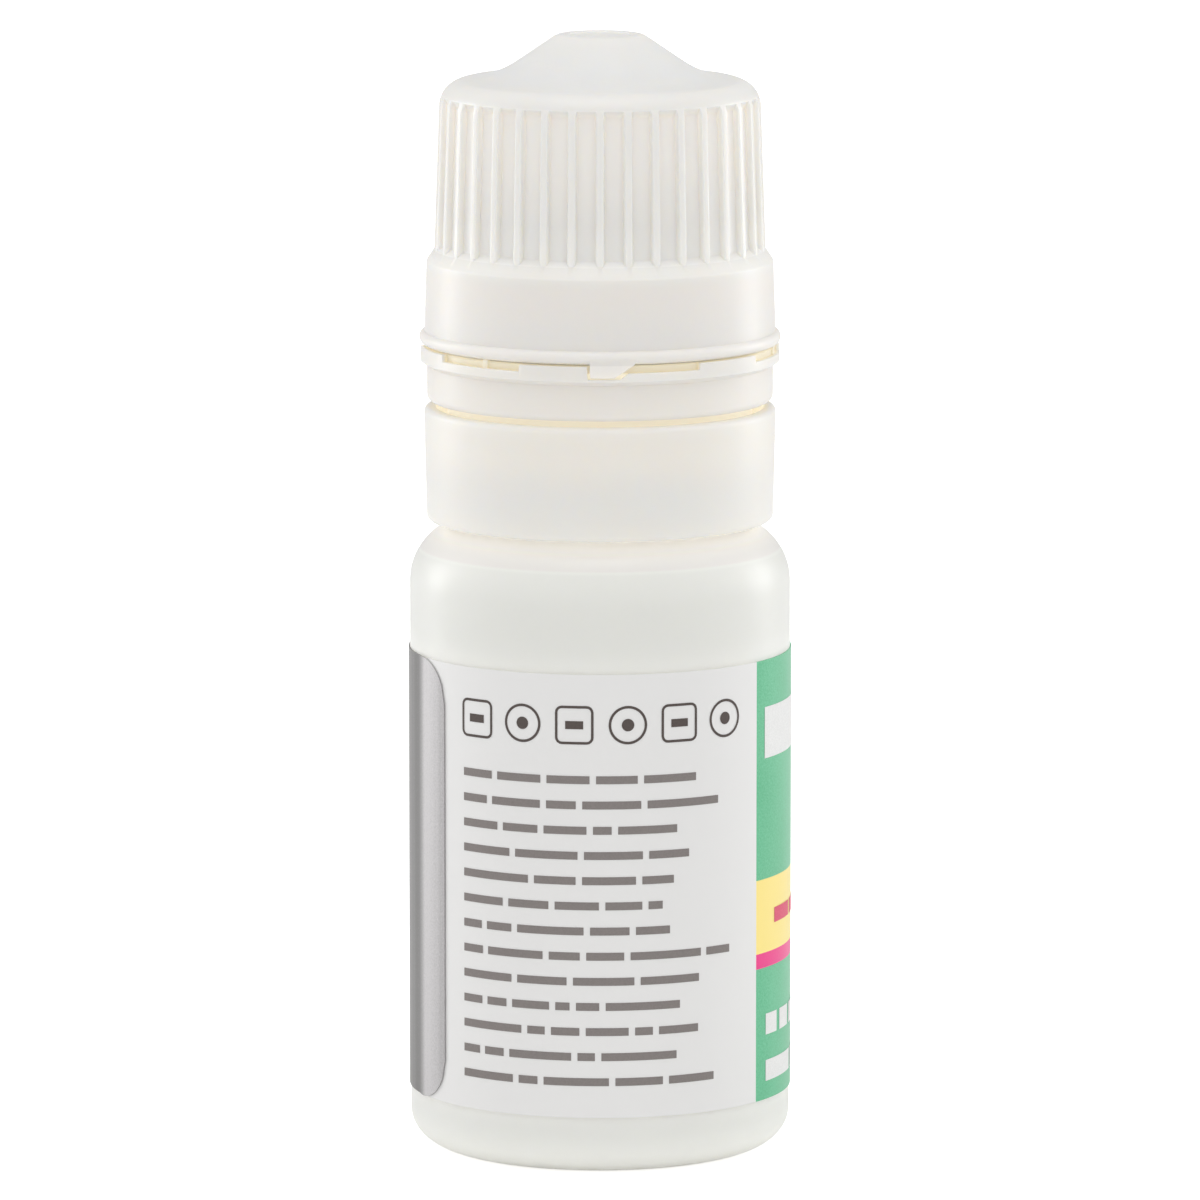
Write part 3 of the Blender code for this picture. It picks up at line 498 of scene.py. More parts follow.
def solution_outline():
    edge = SOLUTION_MENISCUS
    radius, surface = bottle_radius - BOTTLE_WALL - SOLUTION_GAP, solution_high.z - edge
    points = [(0.0, surface), (radius - 4 * edge, surface)]
    points += oval((radius - edge, solution_high.z), edge, edge, -90.0, 0.0, 4)
    return points + inner_floor(SOLUTION_GAP)[::-1]


solution = turned("eye_solution", solution_outline(), SOLUTION_COLUMNS, closed=False)
dress(solution, clear_liquid(), "root", "clear_solution", "solution")


# The label: one strip of printed film stuck round the body, with rounded corners where its end laps over its
# start. White, green and silver fields, and a yellow band over a pink stripe on the green.
LABEL_THICKNESS = 0.00008
LABEL_GAP = 0.00001
LABEL_CORNER = 0.0028
LABEL_START = -64.0
LABEL_END = 306.8
LABEL_LAP_RUN = 6.0
LABEL_LAP_LIFT = 0.00004
LABEL_COLUMNS = 220
LABEL_CORNER_COLUMNS = 14
GREEN_START = 54.2
GREEN_END = 203.0
BAND_LOW = 0.0138
BAND_HIGH = 0.0187
STRIPE_LOW = 0.0128
WHITE_FILM = (0.777, 0.772, 0.763, 1.0)
GREEN_INK = (0.048, 0.390, 0.178, 1.0)
GREEN_INK_LIGHT = (0.140, 0.545, 0.310, 1.0)
GREEN_WAVE_SHARE = 0.6
GREEN_GRAIN_SHARE = 1.2
GREEN_DARK_SHARE = 0.4
YELLOW_INK = (0.940, 0.755, 0.220, 1.0)
PINK_INK = (0.810, 0.006, 0.220, 1.0)
SILVER_INK = (0.130, 0.125, 0.122, 1.0)
SILVER_BRUSH_AND_PAINTED_SHEEN = (0.570, 0.555, 0.560, 1.0)
# Painted reflection: the silver is light in a band just before the lap, dark just ahead of that band, and half as
# light towards the back.
SILVER_PAINTED_SHEEN_TURN = 296.5
SILVER_PAINTED_SHEEN_SPREAD = 6.0
SILVER_PAINTED_SHEEN_FADE = 0.35
SILVER_PAINTED_BACK_SHEEN = 0.5
SILVER_BRUSH_SHARE = 0.40
SILVER_GRAIN_SHARE = 0.50
SILVER_BRUSH_ROUND = 0.375
SILVER_BRUSH_ALONG = 0.36
FILM_ROUGHNESS = 0.42
SILVER_ROUGHNESS = 0.34
SILVER_METAL = 0.25
FILM_COAT = 0.10
INK_COAT = 0.25
FILM_SWING = 0.12
FILM_GRAIN_SHARE = 0.15
FILM_STRENGTH = 0.35
PRINT_GRAIN_FINENESS = 9000.0
FILM_WAVE_FINENESS = 160.0
FILM_WAVE_DEPTH = 0.00004

label_radius = bottle_radius + LABEL_GAP
label_face = label_radius + LABEL_THICKNESS


def label_mesh():
    """The strip as columns of points, each with its turn and height kept as a UV map for the print."""
    lapped = label_face + LABEL_LAP_LIFT
    corner_turn = math.degrees(LABEL_CORNER / label_radius)
    run = LABEL_END - corner_turn - LABEL_START
    turns = [LABEL_START + run * step / LABEL_COLUMNS for step in range(LABEL_COLUMNS)]
    for step in range(LABEL_CORNER_COLUMNS + 1):
        turns.append(LABEL_END - corner_turn * math.cos(math.radians(90.0 * step / LABEL_CORNER_COLUMNS)))
    shape = bmesh.new()
    print_map = shape.loops.layers.uv.new("print")
    columns = []
    for turn in turns:
        raised = min(1.0, max(0.0, (turn - LABEL_START - 360.0 + LABEL_LAP_RUN) / (LABEL_LAP_RUN / 2)))
        past = max(0.0, math.radians(turn - LABEL_END + corner_turn) * label_radius)
        trim = LABEL_CORNER - math.sqrt(max(0.0, LABEL_CORNER**2 - past**2))
        radius = label_radius + (lapped - label_radius) * raised
        angle = math.radians(turn)
        column = []
        for height in (label_low.z + trim, (label_low.z + label_high.z) / 2, label_high.z - trim):
            corner = shape.verts.new((radius * math.sin(angle), -radius * math.cos(angle), height))
            column.append((corner, turn, height))
        columns.append(column)
    for left, right in zip(columns, columns[1:]):
        for row in range(2):
            corners = (left[row], right[row], right[row + 1], left[row + 1])
            face = shape.faces.new([corner for corner, _, _ in corners])
            for loop, (_, turn, height) in zip(face.loops, corners):
                loop[print_map].uv = (turn / 360.0, height)
    made = meshed("wrap_label", shape)
    thickness = made.modifiers.new("Thickness", "SOLIDIFY")
    thickness.thickness = LABEL_THICKNESS
    thickness.offset = 1.0
    return plain(made)


def plain(made):
    """Turns what the modifiers make into the piece's own mesh."""
    bpy.context.view_layer.update()
    result = bpy.data.meshes.new_from_object(made.evaluated_get(bpy.context.evaluated_depsgraph_get()))
    made.modifiers.clear()
    made.data = result
    return smooth(made)


def printed_film():
    """Satin film with its fields of ink, laid out by the turn and the height in the print's UV map."""
    made, shader, works = principled("printed_film", {"Coat Roughness": 0.25, "Specular IOR Level": 0.4})
    place, _, _ = measures(works)
    turn, height, _ = works.split(works.wire("ShaderNodeUVMap", uv_map="print"))
    turn = turn * 360.0
    grain = works.noise(place, PRINT_GRAIN_FINENESS, 1.0)
    wave = works.noise(place, FILM_WAVE_FINENESS, 2.0)
    green = turn.above(GREEN_START)
    silver = turn.above(GREEN_END)
    band = height.above(BAND_LOW) * (1.0 - height.above(BAND_HIGH)) * green
    stripe = height.above(STRIPE_LOW) * (1.0 - height.above(BAND_LOW)) * green
    light = (wave * GREEN_WAVE_SHARE + grain * GREEN_GRAIN_SHARE - GREEN_DARK_SHARE).limited()
    green_tone = works.blend(light, GREEN_INK, GREEN_INK_LIGHT)
    brush = works.noise(works.vector(turn * SILVER_BRUSH_ROUND, height * SILVER_BRUSH_ALONG), 1.0, 3.0)
    # Painted reflection on the silver, with the real brush and grain added on top.
    before = ((turn - SILVER_PAINTED_SHEEN_TURN + SILVER_PAINTED_SHEEN_SPREAD) / SILVER_PAINTED_SHEEN_SPREAD).eased()
    after = 1.0 - ((turn - SILVER_PAINTED_SHEEN_TURN) / (2.0 * SILVER_PAINTED_SHEEN_SPREAD)).eased() * SILVER_PAINTED_SHEEN_FADE
    back = ((SILVER_PAINTED_SHEEN_TURN - 3.0 * SILVER_PAINTED_SHEEN_SPREAD - turn) / (4.0 * SILVER_PAINTED_SHEEN_SPREAD)).eased()
    painted_sheen_and_brush = before * after + back * SILVER_PAINTED_BACK_SHEEN
    painted_sheen_and_brush = painted_sheen_and_brush + (brush - 0.5) * SILVER_BRUSH_SHARE + (grain - 0.5) * SILVER_GRAIN_SHARE
    silver_tone = works.blend(painted_sheen_and_brush.limited(), SILVER_INK, SILVER_BRUSH_AND_PAINTED_SHEEN)
    colour = WHITE_FILM
    for field, tone in ((green, green_tone), (band, YELLOW_INK), (stripe, PINK_INK), (silver, silver_tone)):
        colour = works.blend(field, colour, tone)
    connect(shader.inputs["Base Color"], colour)
    connect(shader.inputs["Metallic"], silver * SILVER_METAL)
    connect(shader.inputs["Coat Weight"], FILM_COAT + (green - silver) * INK_COAT)
    roughness = FILM_ROUGHNESS - silver * (FILM_ROUGHNESS - SILVER_ROUGHNESS) + (grain - 0.5) * FILM_SWING
    connect(shader.inputs["Roughness"], roughness)
    connect(shader.inputs["Normal"], works.relief(wave + grain * FILM_GRAIN_SHARE, FILM_WAVE_DEPTH, FILM_STRENGTH))
    return made


label = label_mesh()
dress(label, printed_film(), "root", "label_film", "label")


# The print on the label: rows of plain bars where such a label has its lines of text, and a row of plain marks
# over them. Each bar is a film of ink, cut from a grid of cells and bent round the label.
INK_LIFT = 0.00002
INK_BROWN = (0.245, 0.220, 0.210, 1.0)
INK_DARK = (0.095, 0.075, 0.068, 1.0)
INK_WHITE = (0.850, 0.850, 0.840, 1.0)
INK_PINK = (0.760, 0.090, 0.180, 1.0)
INK_ROUGHNESS = 0.50
INK_SHADE = 0.8
INK_SWING = 0.2
WORDS_TO_A_LINE = 14
WORD_POINTS = 12
WORD_SHORTEST = 0.0008
WORD_LONGEST = 0.0052
WORD_GAP = 0.00042
RAGGED_SHARE = 0.20
MARK_LEFT = -39.5


def grown(name, title, material, sizes, layout, base=None):
    """The plain mesh that a new geometry tree makes from nothing or from a base mesh. Each size is a named input
    of the tree, and the layout lays its nodes from the workings and a wire for each input.
    """
    tree = bpy.data.node_groups.new(title, "GeometryNodeTree")
    tree.interface.new_socket("Geometry", in_out="INPUT", socket_type="NodeSocketGeometry")
    for size in sizes:
        tree.interface.new_socket(size, in_out="INPUT", socket_type="NodeSocketFloat")
    tree.interface.new_socket("Geometry", in_out="OUTPUT", socket_type="NodeSocketGeometry")
    works = Workings(tree)
    group = works.node("NodeGroupInput")
    shaped = layout(works, {socket.name: Wire(socket) for socket in group.outputs if socket.name})
    real = works.wire("GeometryNodeRealizeInstances", {"Geometry": shaped})
    dressed = works.wire("GeometryNodeSetMaterial", {"Geometry": real, "Material": material})
    works.node("NodeGroupOutput", {0: dressed})
    made = placed(name, base or bpy.data.meshes.new(name))
    grow = made.modifiers.new("Grow", "NODES")
    grow.node_group = tree
    for socket in tree.interface.items_tree:
        if socket.in_out == "INPUT" and socket.name in sizes:
            grow[socket.identifier] = float(sizes[socket.name])
    return plain(made)


def bent(works, geometry, radius):
    """Bends a flat layout round the label: X is the run round it and Y the height."""
    run, height, _ = works.split(works.wire("GeometryNodeInputPosition"))
    turn = run / radius
    across = turn.calculate("SINE", turn) * radius
    along = turn.calculate("COSINE", turn) * radius * -1.0
    place = works.vector(across, along, height)
    return works.wire("GeometryNodeSetPosition", {"Geometry": geometry, "Position": place})


def grained(name, constants, colour, shade, roughness, swing, fineness, detail):
    """A new finish whose fine grain shades its colour and makes its roughness swing."""
    made, shader, works = principled(name, constants)
    grain = works.noise(measures(works)[0], fineness, detail)
    darker = tuple(part * shade for part in colour[:3]) + (1.0,)
    connect(shader.inputs["Base Color"], works.blend(grain, colour, darker))
    connect(shader.inputs["Roughness"], roughness + (grain - 0.5) * swing)
    return made, shader, works, grain


def ink(name, colour):
    return grained(name, {"Specular IOR Level": 0.35}, colour, INK_SHADE, INK_ROUGHNESS, INK_SWING,
                   PRINT_GRAIN_FINENESS, 1.0)[0]


def word_layout(works, size):
    """Lines of bars as long as words, with a ragged right edge, bent round the label."""
    depth = size["Line Pitch"] * (size["Lines"] - 1.0)
    spots = works.wire("GeometryNodeMeshGrid", {"Vertices X": size["Words"], "Vertices Y": size["Lines"],
                                                "Size X": size["Line Length"], "Size Y": depth})
    _, along, _ = works.split(works.wire("GeometryNodeInputPosition"))
    line = (depth / 2.0 - along) / size["Line Pitch"]
    line = line.calculate("ROUND", line)
    chance = works.wire("FunctionNodeRandomValue", {"Seed": size["Seed"]}, 1, data_type="FLOAT")
    width = size["Shortest"] + (size["Longest"] - size["Shortest"]) * chance
    before = works.wire("GeometryNodeAccumulateField", {"Value": width + size["Gap"], "Group Index": line}, 1)
    spread = works.wire("FunctionNodeRandomValue", {"ID": line, "Seed": size["Seed"] + 7.0}, 1,
                        data_type="FLOAT")
    limit = size["Line Length"] * (1.0 - size["Ragged Share"] * spread)
    kept = works.node("GeometryNodeCaptureAttribute", domain="POINT")
    values = {"Width": width, "Before": before, "Line": line, "Beyond": (before + width).above(limit)}
    for title in values:
        kept.capture_items.new("FLOAT", title)
    for title, value in values.items():
        connect(kept.inputs[title], value)
    connect(kept.inputs["Geometry"], spots)
    spots, width, before, line, beyond = (Wire(kept.outputs[title]) for title in ("Geometry", *values))
    place = works.vector(size["Left"] + before + width / 2.0, size["Top"] - line * size["Line Pitch"])
    spots = works.wire("GeometryNodeSetPosition", {"Geometry": spots, "Position": place})
    spots = works.wire("GeometryNodeDeleteGeometry", {"Geometry": spots, "Selection": beyond})
    bar = works.wire("GeometryNodeMeshGrid", {
        "Vertices X": size["Bar Points"], "Vertices Y": 2, "Size X": 1.0, "Size Y": size["Bar Height"]})
    stretch = works.vector(width, 1.0, 1.0)
    bars = works.wire("GeometryNodeInstanceOnPoints", {"Points": spots, "Instance": bar, "Scale": stretch})
    bars = works.wire("GeometryNodeRealizeInstances", {"Geometry": bars})
    return bent(works, bars, size["Radius"])


def text_block(name, material, left, top, height, lines=1, pitch=0.0031, length=0.026, stretch=1.0, seed=4):
    """One block of bars on the label, with its left edge at an angle and its first line at a height."""
    radius = label_face + INK_LIFT
    made = grown(name, "text_bars", material, {
        "Words": WORDS_TO_A_LINE, "Lines": lines, "Shortest": WORD_SHORTEST * stretch,
        "Longest": WORD_LONGEST * stretch, "Gap": WORD_GAP * stretch, "Line Length": length,
        "Ragged Share": RAGGED_SHARE, "Line Pitch": pitch, "Bar Height": height, "Bar Points": WORD_POINTS,
        "Left": math.radians(left) * radius, "Top": top, "Radius": radius, "Seed": seed}, word_layout)
    dress(made, material, "root", "label_film")


def mark_layout(works, size):
    """A row of plain marks, turn and turn about: a ring round a dot, and a box round a bar."""
    start = works.vector(size["Left"], size["Height"])
    row = works.wire("GeometryNodeMeshLine", {
        "Count": size["Count"], "Start Location": start, "Offset": works.vector(size["Pitch"])})
    ring = works.wire("GeometryNodeCurvePrimitiveCircle", {"Resolution": 40, "Radius": size["Mark Radius"]})
    box = works.wire("GeometryNodeCurvePrimitiveQuadrilateral", {
        "Width": size["Mark Radius"] * 2.0, "Height": size["Mark Radius"] * 2.0})
    box = works.wire("GeometryNodeFilletCurve", {"Curve": box, "Count": 5, "Radius": size["Mark Radius"] * 0.3},
                     mode="POLY")
    box = works.wire("GeometryNodeResampleCurve", {"Curve": box, "Count": 60})
    edge = works.wire("GeometryNodeCurvePrimitiveLine", {
        "Start": works.vector(size["Line"] * -0.5), "End": works.vector(size["Line"] * 0.5)})
    dot = works.wire("GeometryNodeMeshCircle", {"Vertices": 20, "Radius": size["Mark Radius"] * 0.35},
                     fill_type="NGON")
    bar = works.wire("GeometryNodeMeshGrid", {"Vertices X": 3, "Vertices Y": 2, "Size X": size["Mark Radius"],
                                              "Size Y": size["Mark Radius"] * 0.45})

    def together(*pieces):
        join = works.node("GeometryNodeJoinGeometry")
        for piece in pieces:
            connect(join.inputs[0], piece)
        return Wire(join.outputs[0])

    pairs = []
    for line, middle in ((ring, dot), (box, bar)):
        ribbon = works.wire("GeometryNodeCurveToMesh", {"Curve": line, "Profile Curve": edge})
        pairs.append(works.wire("GeometryNodeGeometryToInstance", {0: together(ribbon, middle)}))
    index = works.wire("GeometryNodeInputIndex")
    which = index.calculate("MODULO", index, 2.0)
    marks = works.wire("GeometryNodeInstanceOnPoints", {
        "Points": row, "Instance": together(*pairs), "Pick Instance": True, "Instance Index": which})
    marks = works.wire("GeometryNodeRealizeInstances", {"Geometry": marks})
    return bent(works, marks, size["Radius"])


brown_ink = ink("brown_ink", INK_BROWN)
dark_ink = ink("dark_ink", INK_DARK)
white_ink = ink("white_ink", INK_WHITE)
pink_ink = ink("pink_ink", INK_PINK)
text_block("text_bars", brown_ink, left=-44.6, top=0.0263, height=0.00052, lines=13, pitch=0.00166, length=0.0206)
text_block("title_bars", white_ink, left=58.5, top=0.0284, height=0.0034, pitch=0.00476, stretch=2.4)
text_block("band_bars", pink_ink, left=65.0, top=0.0161, height=0.0010, pitch=0.00166, seed=5)
text_block("side_bars", white_ink, left=59.5, top=0.0090, height=0.0014, lines=2, stretch=1.2)
marks = grown("label_marks", "label_marks", dark_ink, {
    "Count": 6, "Pitch": 0.0035, "Mark Radius": 0.00118, "Line": 0.00017, "Height": 0.0299,
    "Left": math.radians(MARK_LEFT) * label_face, "Radius": label_face + INK_LIFT}, mark_layout)
dress(marks, dark_ink, "root", "label_film")


# The works inside the head: seal, insert, filter, retainer, carrier, pin, diaphragm and cap seal. They are small
# unpigmented mouldings, soft silicone and a fleece-backed membrane, pressed together behind the nozzle.
INNER_FINISHES = (
    ("natural_plastic", (0.700, 0.680, 0.590, 1.0), 0.45, 0.15, 1800.0,
     ("inlet_insert", "filter_retainer", "spring_carrier", "valve_pin")),
    ("pale_silicone", (0.560, 0.600, 0.600, 1.0), 0.60, 0.20, 2400.0, ("neck_seal", "valve_diaphragm", "cap_seal")),
    ("filter_fleece", (0.780, 0.780, 0.750, 1.0), 0.90, 0.0, 6000.0, ("vent_filter",)),
)
INNER_GRAIN_DEPTH = 0.00002
INNER_GRAIN_STRENGTH = 0.4
INNER_SHADE = 0.86
INNER_SWING = 0.12

for name, colour, roughness, scatter, fineness, nodes in INNER_FINISHES:
    material, shader, works, grain = grained(
        name, {"Subsurface Weight": scatter, "Subsurface Scale": 0.001}, colour, INNER_SHADE, roughness,
        INNER_SWING, fineness, 3.0)
    connect(shader.inputs["Normal"], works.relief(grain, INNER_GRAIN_DEPTH, INNER_GRAIN_STRENGTH))
    for node in nodes:
        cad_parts[node].data.materials.clear()
        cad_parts[node].data.materials.append(material)


# The valve spring: drawn stainless wire, wound between the carrier's floor and the pin's flange. It pushes the
# pin up, so its nose shuts the orifice.
SPRING_WIRE = 0.00045
SPRING_TURNS = 4.0
SPRING_POINTS = 240
SPRING_SIDES = 14
STEEL_COLOUR = (0.560, 0.555, 0.550, 1.0)
STEEL_ROUGHNESS = 0.22
STEEL_SWING = 0.12
STEEL_FINENESS = 5000.0

spring_low, spring_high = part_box("valve_spring")


def coil_layout(works, size):
    """A wire that follows a helix, with a section given by the number of its sides."""
    coil = works.wire("GeometryNodeCurveSpiral", {
        "Resolution": size["Points"] / size["Turns"], "Rotations": size["Turns"], "Height": size["Rise"],
        "Start Radius": size["Coil Radius"], "End Radius": size["Coil Radius"]})
    section = works.wire("GeometryNodeCurvePrimitiveCircle", {
        "Resolution": size["Sides"], "Radius": size["Wire Radius"]})
    wire = works.wire("GeometryNodeCurveToMesh", {"Curve": coil, "Profile Curve": section, "Fill Caps": True})
    return works.wire("GeometryNodeTransform", {"Geometry": wire, "Translation": works.vector(z=size["Foot"])})


def drawn_steel():
    made, shader, works = principled("drawn_steel", {"Metallic": 1.0, "Base Color": STEEL_COLOUR})
    grain = works.noise(measures(works)[0], STEEL_FINENESS)
    connect(shader.inputs["Roughness"], STEEL_ROUGHNESS + grain * STEEL_SWING)
    return made


steel = drawn_steel()
spring_height = spring_high.z - spring_low.z
spring = grown("closing_spring", "spring_coil", steel, {
    "Turns": SPRING_TURNS, "Points": SPRING_POINTS, "Coil Radius": spring_high.x - SPRING_WIRE / 2,
    "Rise": spring_height - SPRING_WIRE, "Wire Radius": SPRING_WIRE / 2, "Sides": SPRING_SIDES,
    "Foot": spring_low.z + SPRING_WIRE / 2}, coil_layout)
dress(spring, steel, "root", "spring_steel", "valve_spring")
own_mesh(spring)


# The dispenser housing: one white moulding with the collar that snaps over the bottle's neck, a core inside a
# narrow groove that carries the tamper ring, and the neck with the cap's two-start thread and an air port.
COLLAR_HEIGHT = 0.0075
COLLAR_WALL = 0.0009
COLLAR_TAPER = 0.00017
COLLAR_HEEL = 0.0014
COLLAR_LIP = 0.00045
GROOVE_WIDTH = 0.00064
GROOVE_DEPTH = 0.0030
WEB_THICKNESS = 0.0010
CORE_FOOT_RISE = 0.00035
CORE_WALL = 0.00135
CORE_BEAD_REACH = 0.0003
CORE_BEAD_THICKNESS = 0.0008
CORE_LEDGE = 0.0012
NECK_HEIGHT = 0.0080
NECK_WALL = 0.0014
NECK_EDGE = 0.0003
NECK_ROWS = 24
CHAMBER_DEPTH = 0.01181
MOULDED_EDGE = 0.00008
THREAD_DEPTH = 0.0005
THREAD_LEAD = 0.0060
THREAD_STARTS = 2
THREAD_ROOT_WIDTH = 0.0011
THREAD_CREST_WIDTH = 0.0005
THREAD_SWEEP = 300.0
THREAD_FOOT = 0.0008
THREAD_SINK = 0.0001
THREAD_RUN_OUT = 0.12
THREAD_END_SHARE = 0.3
THREAD_STEPS = 90
AIR_PORT_RISE = 0.0012
AIR_PORT_RADIUS = 0.0004
WHITE_PLASTIC = (0.785, 0.755, 0.712, 1.0)
WHITE_COOL = (0.770, 0.772, 0.752, 1.0)
# Painted light and shade: a warm white for light in recesses and a dim white for shade.
WHITE_PAINTED_WARM_LIGHT = (0.880, 0.825, 0.770, 1.0)
WHITE_PAINTED_SHADE = (0.715, 0.710, 0.695, 1.0)
# Painted light in narrow gaps: a golden colour and an emitted glow.
CREVICE_PAINTED_LIGHT = (0.790, 0.710, 0.530, 1.0)
PAINTED_GLOW_COLOUR = (0.520, 0.500, 0.440, 1.0)
# Amounts of painted golden light and painted glow in the groove and on the collar's foot.
GROOVE_PAINTED_GOLD = 0.42
GROOVE_GLOW = 0.46
COLLAR_FOOT_GLOW = 0.06
WHITE_ROUGHNESS = 0.38
WHITE_CLOUD_FINENESS = 260.0
WHITE_SKIN_FINENESS = 4200.0
WHITE_SKIN_DEPTH = 0.000012

housing_low, housing_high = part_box("dispenser_housing")
ring_low, ring_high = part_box("tamper_ring")
collar_radius = housing_high.x
collar_bore = collar_radius - COLLAR_WALL
core_radius = collar_bore - GROOVE_WIDTH
neck_radius = core_radius - CORE_LEDGE
chamber_radius = neck_radius - NECK_WALL
collar_top = housing_low.z + COLLAR_HEIGHT
groove_floor = collar_top - GROOVE_DEPTH
core_top = housing_high.z - NECK_HEIGHT


def white_plastic(name, painted_crevice_light=None, painted_tones=None):
    """Satin polyethylene. From a radius and a height, the first function gives how much painted golden light a
    narrow gap gets and how strong its painted glow (emission) is, and the second gives painted warm light and
    painted shade.
    """
    made, shader, works = principled(name, {
        "Subsurface Weight": 0.7, "Subsurface Scale": 0.0016, "Subsurface Radius": (1.0, 0.85, 0.6),
        "IOR": 1.50, "Specular IOR Level": 0.5, "Emission Strength": 1.0})
    place, radius, height = measures(works)
    cloud = works.noise(place, WHITE_CLOUD_FINENESS)
    skin = works.noise(place, WHITE_SKIN_FINENESS, 3.0)
    colour = works.blend(cloud, WHITE_PLASTIC, WHITE_COOL)
    # Painted warm light and painted shade.
    if painted_tones:
        painted_warmth, painted_shade = painted_tones(radius, height)
        colour = works.blend(painted_shade, works.blend(painted_warmth, colour, WHITE_PAINTED_WARM_LIGHT), WHITE_PAINTED_SHADE)
    # Painted golden light and painted glow in narrow gaps, where shade would fall.
    if painted_crevice_light:
        painted_gold_light, glow = painted_crevice_light(radius, height)
        colour = works.blend(painted_gold_light, colour, CREVICE_PAINTED_LIGHT)
        connect(shader.inputs["Emission Color"], works.blend(glow, NO_GLOW, PAINTED_GLOW_COLOUR))
    else:
        shader.inputs["Emission Color"].default_value = NO_GLOW
    connect(shader.inputs["Base Color"], colour)
    moulded_skin(shader, works, WHITE_ROUGHNESS, skin, cloud, skin, WHITE_SKIN_DEPTH)
    return made


def at(radius, angle, height):
    turn = math.radians(angle)
    return (radius * math.sin(turn), -radius * math.cos(turn), height)


def joined(made, parts, operation="UNION"):
    """Works closed parts into the piece one by one, so that it keeps one closed skin."""
    for part in parts:
        step = made.modifiers.new("Join", "BOOLEAN")
        step.operation = operation
        step.solver = "MANIFOLD"
        step.object = part
        plain(made)
        bpy.data.objects.remove(part)
    return made


def thread_ribs(name, wall, reach, foot, start):
    """The starts of a right-handed thread on a wall: the ribs stand out by the reach, or in if it is negative."""
    ribs = []
    sink = math.copysign(THREAD_SINK, reach)
    for lead in range(THREAD_STARTS):
        sections = []
        for step in range(THREAD_STEPS + 1):
            share = step / THREAD_STEPS
            full = min(1.0, share / THREAD_RUN_OUT, (1.0 - share) / THREAD_RUN_OUT)
            full = full * full * (3.0 - 2.0 * full)
            angle = start + 360.0 * lead / THREAD_STARTS + THREAD_SWEEP * share
            height = foot + THREAD_LEAD * THREAD_SWEEP * share / 360.0
            root, crest = wall - sink, wall - sink + (reach + sink) * full
            width = THREAD_END_SHARE + (1.0 - THREAD_END_SHARE) * full
            low, high = THREAD_ROOT_WIDTH / 2 * width, THREAD_CREST_WIDTH / 2 * width
            corners = ((root, -low), (crest, -high), (crest, high), (root, low))
            sections.append([at(radius, angle, height + rise) for radius, rise in corners])
        ribs.append(skinned(name, sections, ends=True))
    return ribs


def housing_outline():
    socket_radius = core_radius - CORE_WALL
    core_foot = housing_low.z + CORE_FOOT_RISE
    web_foot = groove_floor - WEB_THICKNESS
    ledge = housing_high.z - CHAMBER_DEPTH
    bead_middle = ring_low.z + 2 * CORE_BEAD_THICKNESS
    foot_outside, foot_bore = collar_radius - COLLAR_TAPER, collar_bore - COLLAR_TAPER
    edge, lip = MOULDED_EDGE, COLLAR_LIP / 2
    rows = [(neck_radius, housing_high.z - NECK_HEIGHT * row / NECK_ROWS, 0.0) for row in range(2, NECK_ROWS)]
    return rounded([
        (chamber_radius, housing_high.z, edge), (neck_radius, housing_high.z, NECK_EDGE), *rows,
        (neck_radius, core_top, edge), (core_radius, core_top, NECK_EDGE),
        (core_radius, bead_middle + CORE_BEAD_THICKNESS / 2, edge),
        (core_radius + CORE_BEAD_REACH, bead_middle, 2 * edge),
        (core_radius, bead_middle - CORE_BEAD_THICKNESS / 2, edge), (core_radius, groove_floor, 2 * edge),
        (collar_bore, groove_floor, 2 * edge), (collar_bore, collar_top, lip),
        (collar_radius, collar_top, 2 * lip), (foot_outside, housing_low.z, COLLAR_HEEL),
        (foot_bore, housing_low.z, edge), (foot_bore, web_foot, edge), (core_radius, web_foot, edge),
        (core_radius, core_foot, edge), (socket_radius, core_foot, edge), (socket_radius, ledge, 0.0),
        (chamber_radius, ledge, edge)], steps=6)


def groove_painted_glow(radius, height):
    """Painted golden light and painted glow in the narrow groove and on the core's wall behind the ring, and a
    fainter painted glow on the collar towards its foot.
    """
    inside = ((collar_bore + COLLAR_LIP / 2 - radius) / (COLLAR_LIP / 3)).eased()
    low = ((height - groove_floor + GROOVE_WIDTH) / GROOVE_WIDTH).eased()
    deep = inside * low * (1.0 - height.above(core_top - NECK_EDGE))
    foot = (1.0 - (height - housing_low.z) / COLLAR_HEIGHT).limited()
    return deep * GROOVE_PAINTED_GOLD, deep * GROOVE_GLOW + foot * COLLAR_FOOT_GLOW


housing = turned("dispenser_head", housing_outline())
port = bmesh.new()
bmesh.ops.create_cone(port, cap_ends=True, segments=32, radius1=AIR_PORT_RADIUS, radius2=AIR_PORT_RADIUS,
                      depth=4 * core_radius)
bmesh.ops.rotate(port, verts=port.verts, cent=(0.0, 0.0, 0.0),
                 matrix=Vector((0.0, 0.0, 1.0)).rotation_difference(Vector((0.0, 1.0, 0.0))).to_matrix())
bmesh.ops.translate(port, verts=port.verts, vec=(0.0, 0.0, core_top + AIR_PORT_RISE))
joined(housing, [meshed("air_port", port)], "DIFFERENCE")
joined(housing, thread_ribs("neck_thread", neck_radius, THREAD_DEPTH, core_top + 2 * THREAD_FOOT, 0.0))
housing_plastic = white_plastic("housing_polyethylene", groove_painted_glow)
dress(housing, housing_plastic, "root", "white_cap_plastic", "dispenser_housing")


